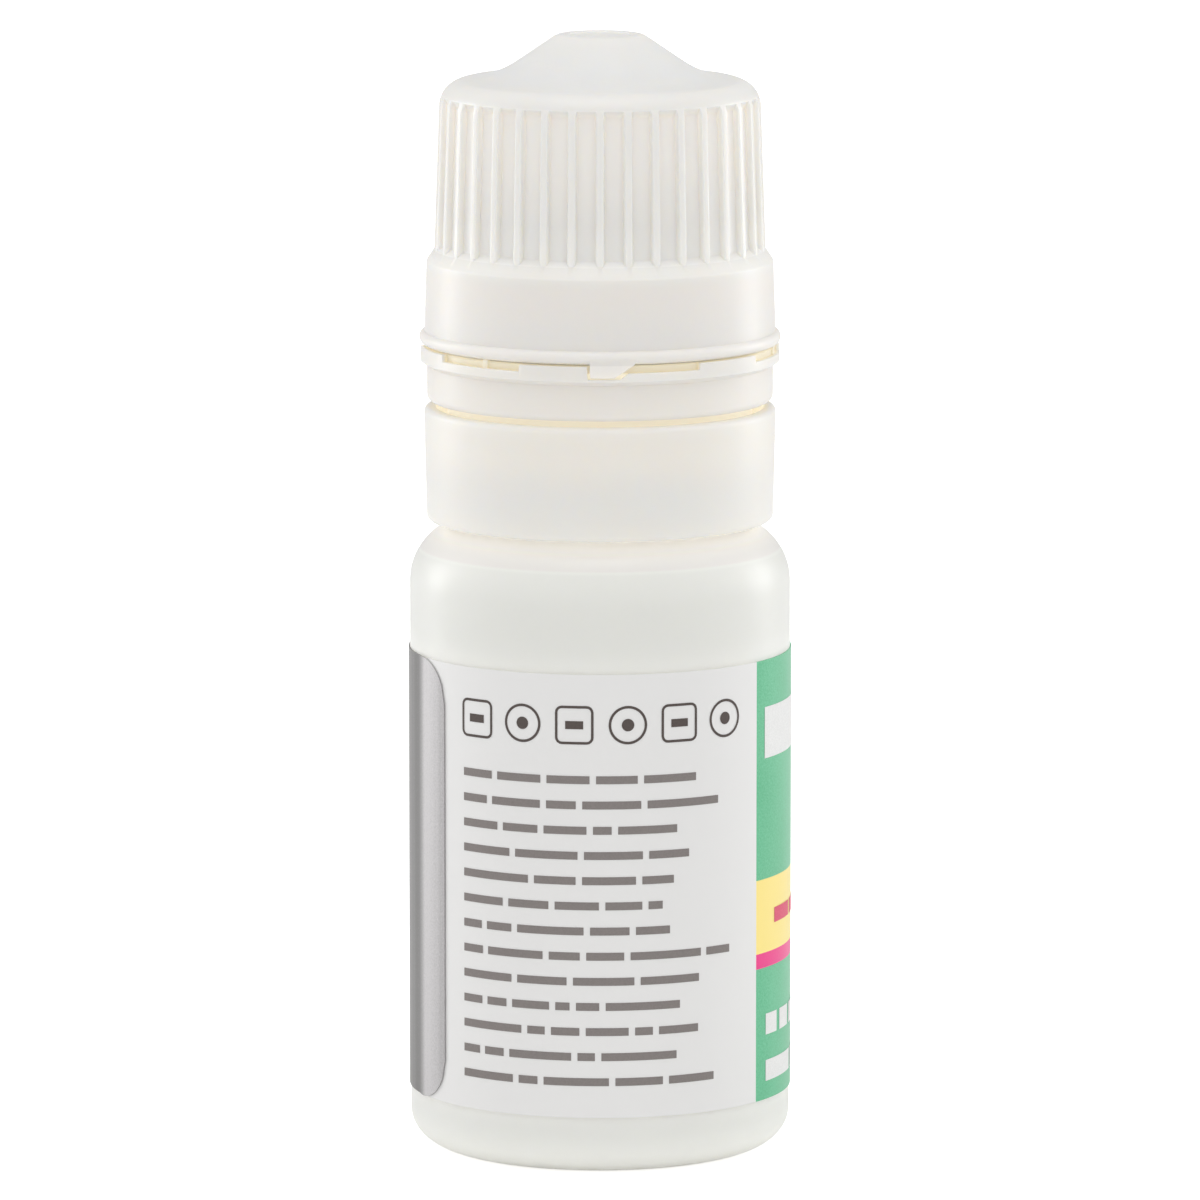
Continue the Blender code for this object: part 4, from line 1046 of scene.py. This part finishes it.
# The dropper nozzle: a slim white cone pressed into the neck, with a flared foot, a rounded tip and a small dish
# round the orifice that forms the drop.
NOZZLE_FLANGE = 0.0008
NOZZLE_FLANGE_OVERLAP = 0.0006
NOZZLE_SKIRT_WALL = 0.0008
NOZZLE_SEAT_GAP = 0.00005
NOZZLE_BASE_RADIUS = 0.0062
NOZZLE_TIP_RADIUS = 0.0021
NOZZLE_TIP_ROUND = 0.0005
NOZZLE_FLARE = 2.4
NOZZLE_BORE_RADIUS = 0.0015
NOZZLE_CONE_LENGTH = 0.00162
ORIFICE_RADIUS = 0.0006
ORIFICE_LENGTH = 0.0005
TIP_DISH = 0.0003
NOZZLE_STEPS = 30
NOZZLE_COLUMNS = 128

nozzle_low, nozzle_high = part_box("dropper_nozzle")


def nozzle_outline():
    foot = housing_high.z + NOZZLE_SEAT_GAP
    flange_edge, flange_top = chamber_radius + NOZZLE_FLANGE_OVERLAP, foot + NOZZLE_FLANGE
    skirt_radius = chamber_radius - NOZZLE_SEAT_GAP
    skirt_bore = skirt_radius - NOZZLE_SKIRT_WALL
    round_foot = nozzle_high.z - NOZZLE_TIP_ROUND
    dish_radius = NOZZLE_TIP_RADIUS - NOZZLE_TIP_ROUND
    orifice_foot = nozzle_high.z - TIP_DISH - ORIFICE_LENGTH
    points = [(ORIFICE_RADIUS, nozzle_high.z - TIP_DISH)]
    points += oval((0.0, nozzle_high.z), dish_radius, TIP_DISH, -55.0, -8.0, 6)
    points += oval((dish_radius, round_foot), NOZZLE_TIP_ROUND, NOZZLE_TIP_ROUND, 88.0, 0.0, 10)
    for step in range(1, NOZZLE_STEPS + 1):
        share = step / NOZZLE_STEPS
        radius = NOZZLE_TIP_RADIUS + (NOZZLE_BASE_RADIUS - NOZZLE_TIP_RADIUS) * share**NOZZLE_FLARE
        points.append((radius, round_foot + (flange_top - round_foot) * share))
    edge = MOULDED_EDGE
    return points + rounded([
        (flange_edge - edge, flange_top, 0.0), (flange_edge, flange_top, edge), (flange_edge, foot, edge),
        (skirt_radius, foot, 0.0), (skirt_radius, nozzle_low.z, 2 * edge),
        (skirt_bore, nozzle_low.z, 2 * edge), (skirt_bore, foot, edge), (NOZZLE_BORE_RADIUS, foot, edge),
        (NOZZLE_BORE_RADIUS, orifice_foot - NOZZLE_CONE_LENGTH, edge), (ORIFICE_RADIUS, orifice_foot, 0.0)],
        closed=False)


nozzle = turned("dropper_cone", nozzle_outline(), NOZZLE_COLUMNS)
dress(nozzle, white_plastic("nozzle_polyethylene"), "root", "white_cap_plastic", "dropper_nozzle")


# The tamper ring: a loose white band that stays on the core. Its castellated flange has raised merlons, three
# deeper notches with a ramp for the cap's teeth, and stubs of the thin bridges that tied it to the cap.
RING_WALL = 0.0009
RING_HEEL = 0.0005
RING_BEAD_REACH = 0.0002
RING_BEAD_THICKNESS = 0.0007
FLANGE_REACH = 0.00042
FLANGE_DEPTH = 0.00055
FLANGE_TAPER = 0.0003
MERLON_COUNT = 6
MERLON_START = 33.5
MERLON_END = 59.3
MERLON_HEIGHT = 0.00045
NOTCH_DEPTH = 0.00040
NOTCH_LIP = 0.00003
NOTCH_START = -4.0
NOTCH_FLOOR_END = 6.4
NOTCH_RAMP_END = 9.2
TOOTH_COUNT = 3
BRIDGE_ANGLE = -40.9
BRIDGE_SPAN = 1.6
BRIDGE_DEPTH = 0.0002
BRIDGE_RISE = 0.0001
CORNER_EASE = 0.35
CORNER_COLUMNS = (-0.75, -0.5, -0.25, 0.0, 0.25, 0.5, 0.75)
RING_COLUMN_STEP = 1.5
# Amounts of painted golden light and painted glow behind the flange, in the notches, on the top edge and under the
# foot.
WINDOW_PAINTED_GOLD = 0.9
WINDOW_GLOW = 0.22
NOTCH_GLOW = 0.5
RIM_PAINTED_GOLD = 0.2
RIM_GLOW = 0.06
FOOT_PAINTED_GOLD = 0.8
FOOT_GLOW = 0.5
# Painted warm light and painted shade on the band under the flange, less on the flange.
RING_PAINTED_WARMTH = 0.4
RING_PAINTED_SHADE = 0.1
FLANGE_PAINTED_WARMTH = 0.1

ring_radius = ring_high.x - FLANGE_REACH
ring_bore = ring_radius - RING_WALL
merlon_foot = ring_high.z - MERLON_HEIGHT
notch_floor = merlon_foot - NOTCH_DEPTH


def eased_step(value, middle, width):
    """0 before the middle and 1 after it, with a rounded change over the width."""
    share = min(1.0, max(0.0, (value - middle) / width + 0.5))
    return share * share * (3.0 - 2.0 * share)


def flange_height(angle):
    """The height of the flange's cut edge at an angle."""
    pitch = 360.0 / MERLON_COUNT
    spot = angle % pitch
    merlon = eased_step(spot, MERLON_START, CORNER_EASE) * (1.0 - eased_step(spot, MERLON_END, CORNER_EASE))
    height = merlon_foot + MERLON_HEIGHT * merlon
    spot = (angle - NOTCH_START + CORNER_EASE) % (360.0 / TOOTH_COUNT) + NOTCH_START - CORNER_EASE
    if spot < NOTCH_RAMP_END:
        ramp = max(0.0, spot - NOTCH_FLOOR_END) / (NOTCH_RAMP_END - NOTCH_FLOOR_END)
        cut = notch_floor + NOTCH_DEPTH * min(1.0, ramp)
        height += (min(height, cut) - height) * eased_step(spot, NOTCH_START, CORNER_EASE)
    return height


def ring_angles():
    """Columns all round, with close ones at each corner of the castellations."""
    ease = [CORNER_EASE * share for share in CORNER_COLUMNS]
    merlon_corners = [corner + by for corner in (MERLON_START, MERLON_END) for by in ease]
    notch_corners = [NOTCH_START + by for by in ease] + [NOTCH_FLOOR_END, NOTCH_RAMP_END]
    angles = {round(index * RING_COLUMN_STEP, 4) for index in range(int(360.0 / RING_COLUMN_STEP))}
    for count, corners in ((MERLON_COUNT, merlon_corners), (TOOTH_COUNT, notch_corners)):
        for index in range(count):
            angles |= {round((corner + 360.0 / count * index) % 360.0, 4) for corner in corners}
    return sorted(angles)


def ring_outline(cut):
    edge = MOULDED_EDGE
    floor_radius = ring_radius + NOTCH_LIP
    flange_foot = merlon_foot - FLANGE_DEPTH
    lip = min(edge, (ring_high.z - cut) / 2)
    points = [(ring_bore, ring_high.z - edge), (ring_bore + edge, ring_high.z),
              (floor_radius - lip, ring_high.z), (floor_radius, ring_high.z - lip), (floor_radius, cut)]
    points += oval((ring_high.x - edge, cut - edge), edge, edge, 90.0, 0.0, 4)
    points += [(ring_high.x, flange_foot), (ring_radius, flange_foot - FLANGE_TAPER)]
    points += oval((ring_radius - RING_HEEL, ring_low.z + RING_HEEL), RING_HEEL, RING_HEEL, 0.0, -90.0, 8)
    points += [(ring_bore - RING_BEAD_REACH + edge, ring_low.z), (ring_bore - RING_BEAD_REACH, ring_low.z + edge),
               (ring_bore - RING_BEAD_REACH, ring_low.z + RING_BEAD_THICKNESS - RING_BEAD_REACH),
               (ring_bore, ring_low.z + RING_BEAD_THICKNESS)]
    return points


def ring_painted_glow(radius, height):
    """Painted golden light and painted glow on the wall behind the flange, which only shows in the notches and in
    the gap under the cap, and on the ring's top edge and under its foot.
    """
    behind = ((ring_high.x - MOULDED_EDGE - radius) / (FLANGE_REACH / 2)).eased()
    behind = behind * ((radius - ring_radius + RING_WALL / 4) / (RING_WALL / 8)).eased()
    behind = behind * ((height - notch_floor + MOULDED_EDGE) / (2 * MOULDED_EDGE)).eased()
    notch = behind * ((merlon_foot - height) / MOULDED_EDGE).eased()
    top = ((height - ring_high.z + MOULDED_EDGE) / MOULDED_EDGE).eased()
    under = ((ring_low.z + 2 * MOULDED_EDGE - height) / MOULDED_EDGE).eased()
    under = under * ((ring_radius - RING_HEEL / 2 - radius) / MOULDED_EDGE).eased()
    painted_gold_light = (behind * WINDOW_PAINTED_GOLD).most(top * RIM_PAINTED_GOLD).most(under * FOOT_PAINTED_GOLD)
    return painted_gold_light, (behind * WINDOW_GLOW + notch * NOTCH_GLOW).most(top * RIM_GLOW).most(under * FOOT_GLOW)


def ring_painted_tones(radius, height):
    """Painted warm light and painted shade on the band under its flange; the flange has less of both, so it is
    brighter.
    """
    flange = ((height - merlon_foot + FLANGE_DEPTH + FLANGE_TAPER) / FLANGE_TAPER).eased()
    return RING_PAINTED_WARMTH - flange * (RING_PAINTED_WARMTH - FLANGE_PAINTED_WARMTH), RING_PAINTED_SHADE * (1.0 - flange)


ring = skinned("castellated_ring", [
    [at(radius, angle, height) for radius, height in ring_outline(flange_height(angle))]
    for angle in ring_angles()])
stubs = []
inner, outer = ring_radius - BRIDGE_DEPTH, ring_radius + BRIDGE_DEPTH
low, high = merlon_foot - BRIDGE_DEPTH, ring_high.z + BRIDGE_RISE
for index in range(TOOTH_COUNT):
    sections = []
    for step in range(3):
        turn = BRIDGE_ANGLE + BRIDGE_SPAN * step / 2 + 360.0 * index / TOOTH_COUNT
        corners = ((inner, low), (outer, low), (outer, high), (inner, high))
        sections.append([at(radius, turn, height) for radius, height in corners])
    stubs.append(skinned("bridge_stub", sections, ends=True))
joined(ring, stubs)
ring_plastic = white_plastic("ring_polyethylene", ring_painted_glow, ring_painted_tones)
dress(ring, ring_plastic, "ring", "white_cap_plastic", "tamper_ring")


# The screw cap: one white moulding with a beaded skirt, a short slope, a knurled grip of 36 ribs, a rounded
# shoulder and a bell-shaped crown with a gate mark in its dimple. Three teeth reach down into the ring.
CAP_BEAD_HEIGHT = 0.00088
CAP_BEAD_REACH = 0.00034
CAP_SKIRT_HEIGHT = 0.0053
CAP_SKIRT_BORE_HEIGHT = 0.0022
CAP_SKIRT_EDGE = 0.0003
CAP_SLOPE_RISE = 0.00088
CAP_SLOPE_EASE = 0.00035
CAP_BEAD_EASE = 0.00012
CAP_WALL = 0.00067
CAP_CROWN_WALL = 0.0011
CAP_THREAD_ROOM = 0.00015
CAP_BORE_STEP = 0.00016
KNURL_DRAFT = 0.00033
RIB_COUNT = 36
RIB_ROOT_WIDTH = 0.00070
RIB_CREST_WIDTH = 0.00040
FLUTE_DEPTH = 0.0004
FLUTE_FOOT_RISE = 0.00038
TONGUE_ROUND = 0.0003
FLUTE_TOP_RISE = 0.00078
FLUTE_TOP_ROUND = 0.0005
RIB_COLUMNS = (-3.3, -2.15, -1.8, -1.5, -1.2, -0.95, -0.5, 0.0,
               0.5, 0.95, 1.2, 1.5, 1.8, 2.15, 3.3, 5.0)
FOOT_ROW_STEP = 0.00006
KNURL_ROWS = 10
DOME_ROWS = 30
CAP_SHOULDER = 0.00175
CAP_SHOULDER_SWEEP = 78.0
DOME_RISE = 0.0030
DOME_SLOPE = 0.68
DOME_CORNER_RADIUS = 0.00283
DOME_CORNER_EASE = 0.0009
DOME_FLARE_RADIUS = 0.0054
DOME_FOOT_SLOPE = 0.04
DIMPLE_RADIUS = 0.0020
DIMPLE_DEPTH = 0.0003
DIMPLE_RIM_DROP = 0.00005
GATE_RADIUS = 0.00038
GATE_HEIGHT = 0.00007
PLUG_WALL = 0.0006
PLUG_DEPTH = 0.0007
SEAL_GAP = 0.00005
TOOTH_HEIGHT = 0.00087
TOOTH_ROOT = CAP_BEAD_HEIGHT / 2
TOOTH_ROOM = 0.00015
TOOTH_SET_BACK = 0.00004
TOOTH_START = -3.2
TOOTH_FLOOR_END = 4.6
TOOTH_RAMP_END = 11.0
TOOTH_EDGE = 0.00007
# Amounts of painted golden light and painted glow on the cap, standing in for light between the parts and through
# the thin walls.
BEAD_PAINTED_GOLD = 0.8
BEAD_GLOW = 0.5
FLUTE_GLOW = 0.08
RIB_GLOW = 0.05
SLOPE_GLOW = 0.07
KNURL_FOOT_GLOW = 0.1
TOOTH_GLOW = 0.15
# Painted warm light in the flutes and on the skirt, and painted shade on the crests, the skirt and the crown.
FLUTE_PAINTED_WARM_LIGHT = 0.8
SKIRT_PAINTED_WARMTH = 0.6
SKIRT_PAINTED_SHADE = 0.3
RIB_PAINTED_SHADE = 0.6
CROWN_PAINTED_SHADE = 0.7
TOOTH_COLUMNS = (TOOTH_START, -2.9, -1.2, 0.0, 2.5, TOOTH_FLOOR_END, 6.5, 8.5, 10.0, TOOTH_RAMP_END)

cap_low, cap_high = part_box("screw_cap")
seal_low, seal_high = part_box("cap_seal")
cap_foot = cap_low.z + TOOTH_HEIGHT
skirt_top = cap_foot + CAP_SKIRT_HEIGHT
slope_top = skirt_top + CAP_SLOPE_RISE
skirt_radius = cap_high.x - CAP_BEAD_REACH
cap_bore = neck_radius + THREAD_DEPTH + CAP_THREAD_ROOM
crest_top_radius = cap_bore + CAP_WALL + FLUTE_DEPTH
crest_foot_radius = crest_top_radius + KNURL_DRAFT
dome_foot = cap_high.z - DOME_RISE
shoulder_foot = dome_foot - CAP_SHOULDER * math.sin(math.radians(CAP_SHOULDER_SWEEP))


def cap_outside():
    """The cap's outer outline without its flutes, from the dimple's middle down to the bead's foot."""
    bowl = cap_high.z - DIMPLE_DEPTH
    points = [(0.0, bowl + GATE_HEIGHT), (GATE_RADIUS * 0.8, bowl + GATE_HEIGHT), (GATE_RADIUS, bowl)]
    points += oval((DIMPLE_RADIUS * 0.55, cap_high.z - DIMPLE_RIM_DROP), DIMPLE_RADIUS * 0.45,
                   DIMPLE_DEPTH - DIMPLE_RIM_DROP, -90.0, 0.0, 8)
    middle = crest_top_radius - CAP_SHOULDER
    dome_radius = middle + CAP_SHOULDER * math.cos(math.radians(CAP_SHOULDER_SWEEP))
    flare_height = cap_high.z - DOME_SLOPE * (DOME_FLARE_RADIUS - DOME_CORNER_RADIUS)
    points += rounded([
        (DIMPLE_RADIUS, cap_high.z - DIMPLE_RIM_DROP, 0.0), (DIMPLE_RADIUS + DIMPLE_RIM_DROP, cap_high.z, 0.0),
        (DOME_CORNER_RADIUS, cap_high.z, DOME_CORNER_EASE), (DOME_FLARE_RADIUS, flare_height, 0.0)],
        closed=False, steps=10)[1:-1]
    reach, fall = dome_radius - DOME_FLARE_RADIUS, flare_height - dome_foot
    for step in range(DOME_ROWS):
        share = step / DOME_ROWS
        points.append((DOME_FLARE_RADIUS + reach * share, dome_foot
                       + fall * (1.0 - 3.0 * share**2 + 2.0 * share**3)
                       - DOME_SLOPE * reach * share * (1.0 - share) ** 2
                       + DOME_FOOT_SLOPE * reach * share**2 * (1.0 - share)))
    points += oval((middle, shoulder_foot), CAP_SHOULDER, CAP_SHOULDER, CAP_SHOULDER_SWEEP, 0.0, 26)
    foot_rows = int((FLUTE_FOOT_RISE + 4 * TONGUE_ROUND / 3) / FOOT_ROW_STEP)
    dense_top = slope_top + foot_rows * FOOT_ROW_STEP
    heights = [shoulder_foot + (dense_top - shoulder_foot) * step / KNURL_ROWS for step in range(1, KNURL_ROWS + 1)]
    heights += [slope_top + step * FOOT_ROW_STEP for step in range(foot_rows - 1, -1, -1)]
    points += [(crest_radius(height), height) for height in heights]
    points += rounded([
        (crest_foot_radius, slope_top, 0.0),
        (skirt_radius - CAP_SKIRT_EDGE / 2, skirt_top + CAP_SKIRT_EDGE / 2, CAP_SLOPE_EASE),
        (skirt_radius, cap_foot + CAP_BEAD_HEIGHT, CAP_BEAD_EASE),
        (cap_high.x - CAP_BEAD_HEIGHT / 4, cap_foot + CAP_BEAD_HEIGHT * 0.85, 0.0)], closed=False, steps=8)[1:-1]
    bead = CAP_BEAD_HEIGHT / 2
    return points + oval((cap_high.x - bead, cap_foot + bead), bead, bead, 65.0, -90.0, 16)


def crest_radius(height):
    """The radius of the ribs' crests at a height, given as a number or as a wire."""
    return crest_foot_radius - KNURL_DRAFT * (height - slope_top) / (shoulder_foot - slope_top)


def cap_inside():
    """The outline of the space in the cap, from the skirt's mouth up to the ceiling over the seal."""
    ceiling = seal_high.z + SEAL_GAP
    skirt_bore = ring_bore + CAP_BORE_STEP
    step_height = cap_foot + CAP_SKIRT_BORE_HEIGHT
    plug_bore = seal_high.x + SEAL_GAP
    plug_radius = plug_bore + PLUG_WALL
    edge = MOULDED_EDGE
    return rounded([
        (skirt_bore, cap_foot, 2 * edge), (skirt_bore, step_height, edge),
        (cap_bore, step_height + skirt_bore - cap_bore, 2 * edge), (cap_bore, shoulder_foot, 4 * edge),
        (cap_bore - CAP_CROWN_WALL, dome_foot - CAP_CROWN_WALL, 4 * edge), (plug_radius, ceiling, 4 * edge),
        (plug_radius, ceiling - PLUG_DEPTH, edge), (plug_bore, ceiling - PLUG_DEPTH, edge),
        (plug_bore, ceiling, 0.0), (0.0, ceiling, 0.0)], closed=False)


def knurl_layout(works, size):
    """Cuts the flutes between the ribs into a turned wall. A rib's foot ends in a round tongue on the slope."""
    across, along, height = works.split(works.wire("GeometryNodeInputPosition"))
    radius = (across * across + along * along).root()
    turn = across.calculate("ARCTAN2", across, along * -1.0)
    pitch = math.tau / size["Rib Count"]
    place = turn / pitch + 0.5
    beside = abs(place.calculate("FRACT", place) - 0.5) * pitch * radius
    climb = (height - size["Foot Height"]) / (size["Top Height"] - size["Foot Height"])
    crest = size["Foot Radius"] + (size["Top Radius"] - size["Foot Radius"]) * climb
    short = ((size["Foot Height"] + size["Tongue Round"] - height) / size["Tongue Round"]).limited()
    half = size["Crest Width"] * 0.5 * (1.0 - short * short).root()
    flank = (size["Root Width"] - size["Crest Width"]) * 0.5
    low = ((size["Top Height"] + size["Top Rise"] - height) / size["Top Round"]).limited().root()
    flute = crest - size["Flute Depth"] * low * ((beside - half) / flank).eased()
    slope = size["Foot Radius"] - size["Flute Depth"] * (height - size["Foot Height"]) / size["Foot Rise"]
    scale = radius.least(flute.most(slope)) / radius.most(FOOT_ROW_STEP)
    moved = works.vector(across * scale, along * scale, height)
    outside = radius.above(size["Top Radius"] - size["Flute Depth"] - size["Crest Width"])
    return works.wire("GeometryNodeSetPosition", {
        "Geometry": size["Geometry"], "Selection": outside, "Position": moved})


def flute_depth(radius, height):
    """How deep in a flute a place is, and how much of the knurl's height it is in."""
    over = (height - shoulder_foot).most(0.0)
    arc = crest_top_radius - CAP_SHOULDER + (CAP_SHOULDER**2 - over * over).most(0.0).root()
    knurl = height.above(slope_top) * (1.0 - height.above(shoulder_foot + FLUTE_TOP_RISE))
    return ((crest_radius(height).least(arc) - radius) / FLUTE_DEPTH).eased() * knurl, knurl


def cap_painted_glow(radius, height):
    """Painted golden light and painted glow on the bead's underside, which faces the ring, and a fainter painted
    glow in the flutes, whose wall is the thinnest, and over the knurl, the slope, the knurl's foot and the teeth.
    """
    near = 1.0 - (abs(height - cap_foot) / MOULDED_EDGE).eased()
    near = near * ((cap_high.x - CAP_BEAD_HEIGHT / 3 - radius) / MOULDED_EDGE).eased() * BEAD_PAINTED_GOLD
    depth, knurl = flute_depth(radius, height)
    slope = (1.0 - abs(height - (skirt_top + slope_top) / 2) / CAP_SLOPE_RISE).limited()
    foot = ((slope_top + 3 * CAP_SLOPE_RISE - height) / (3 * CAP_SLOPE_RISE)).limited() * knurl
    tooth = ((cap_foot - height) / MOULDED_EDGE).eased()
    glow = near * BEAD_GLOW + depth * FLUTE_GLOW + knurl * RIB_GLOW + slope * SLOPE_GLOW
    return near, glow + foot * KNURL_FOOT_GLOW + tooth * TOOTH_GLOW


def cap_painted_tones(radius, height):
    """Painted warm light on the skirt and the flutes' floors, and painted shade on the ribs' crests, the skirt and
    the crown.
    """
    depth, knurl = flute_depth(radius, height)
    skirt = ((skirt_top - height) / CAP_SLOPE_RISE).eased()
    crown = ((height - shoulder_foot) / CAP_SLOPE_RISE).eased()
    painted_shade = (knurl - depth) * (1.0 - crown) * RIB_PAINTED_SHADE + skirt * SKIRT_PAINTED_SHADE + crown * CROWN_PAINTED_SHADE
    return depth * FLUTE_PAINTED_WARM_LIGHT + skirt * SKIRT_PAINTED_WARMTH, painted_shade


def cap_teeth():
    """Three teeth under the bead, each with a flat end and a ramp on the side it is turned towards."""
    inner, outer = ring_radius + TOOTH_ROOM, cap_high.x - TOOTH_SET_BACK
    edge = TOOTH_EDGE
    teeth = []
    for index in range(TOOTH_COUNT):
        sections = []
        for angle in TOOTH_COLUMNS:
            ramp = max(0.0, angle - TOOTH_FLOOR_END) / (TOOTH_RAMP_END - TOOTH_FLOOR_END)
            foot = cap_low.z + (cap_foot - cap_low.z) * ramp + (edge if angle == TOOTH_START else 0.0)
            turn = angle + 360.0 * index / TOOTH_COUNT
            corners = [(inner, cap_foot + TOOTH_ROOT), (inner, foot + edge), (inner + edge, foot),
                       (outer - edge, foot), (outer, foot + edge), (outer, cap_foot + TOOTH_ROOT)]
            sections.append([at(radius, turn, height) for radius, height in corners])
        teeth.append(skinned("cap_tooth", sections, ends=True))
    return teeth


cap_plastic = white_plastic("cap_polyethylene", cap_painted_glow, cap_painted_tones)
rib_angles = [rib * 360.0 / RIB_COUNT + offset for rib in range(RIB_COUNT) for offset in RIB_COLUMNS]
cap_outline = cap_outside() + cap_inside()
smooth_cap = skinned("ribbed_cap", [[at(radius, angle, height) for radius, height in cap_outline]
                                    for angle in rib_angles], closed=False)
cap = grown("ribbed_cap", "cap_knurl", cap_plastic, {
    "Rib Count": RIB_COUNT, "Root Width": RIB_ROOT_WIDTH, "Crest Width": RIB_CREST_WIDTH,
    "Flute Depth": FLUTE_DEPTH, "Foot Height": slope_top, "Foot Radius": crest_foot_radius,
    "Foot Rise": FLUTE_FOOT_RISE, "Tongue Round": TONGUE_ROUND, "Top Height": shoulder_foot,
    "Top Radius": crest_top_radius, "Top Rise": FLUTE_TOP_RISE, "Top Round": FLUTE_TOP_ROUND},
    knurl_layout, smooth_cap.data)
bpy.data.objects.remove(smooth_cap)
thread_foot = cap_foot + CAP_SKIRT_BORE_HEIGHT + 2 * CAP_SKIRT_EDGE
joined(cap, cap_teeth() + thread_ribs("cap_thread", cap_bore, -THREAD_DEPTH, thread_foot, 90.0))
dress(cap, cap_plastic, "cap", "white_cap_plastic", "screw_cap")
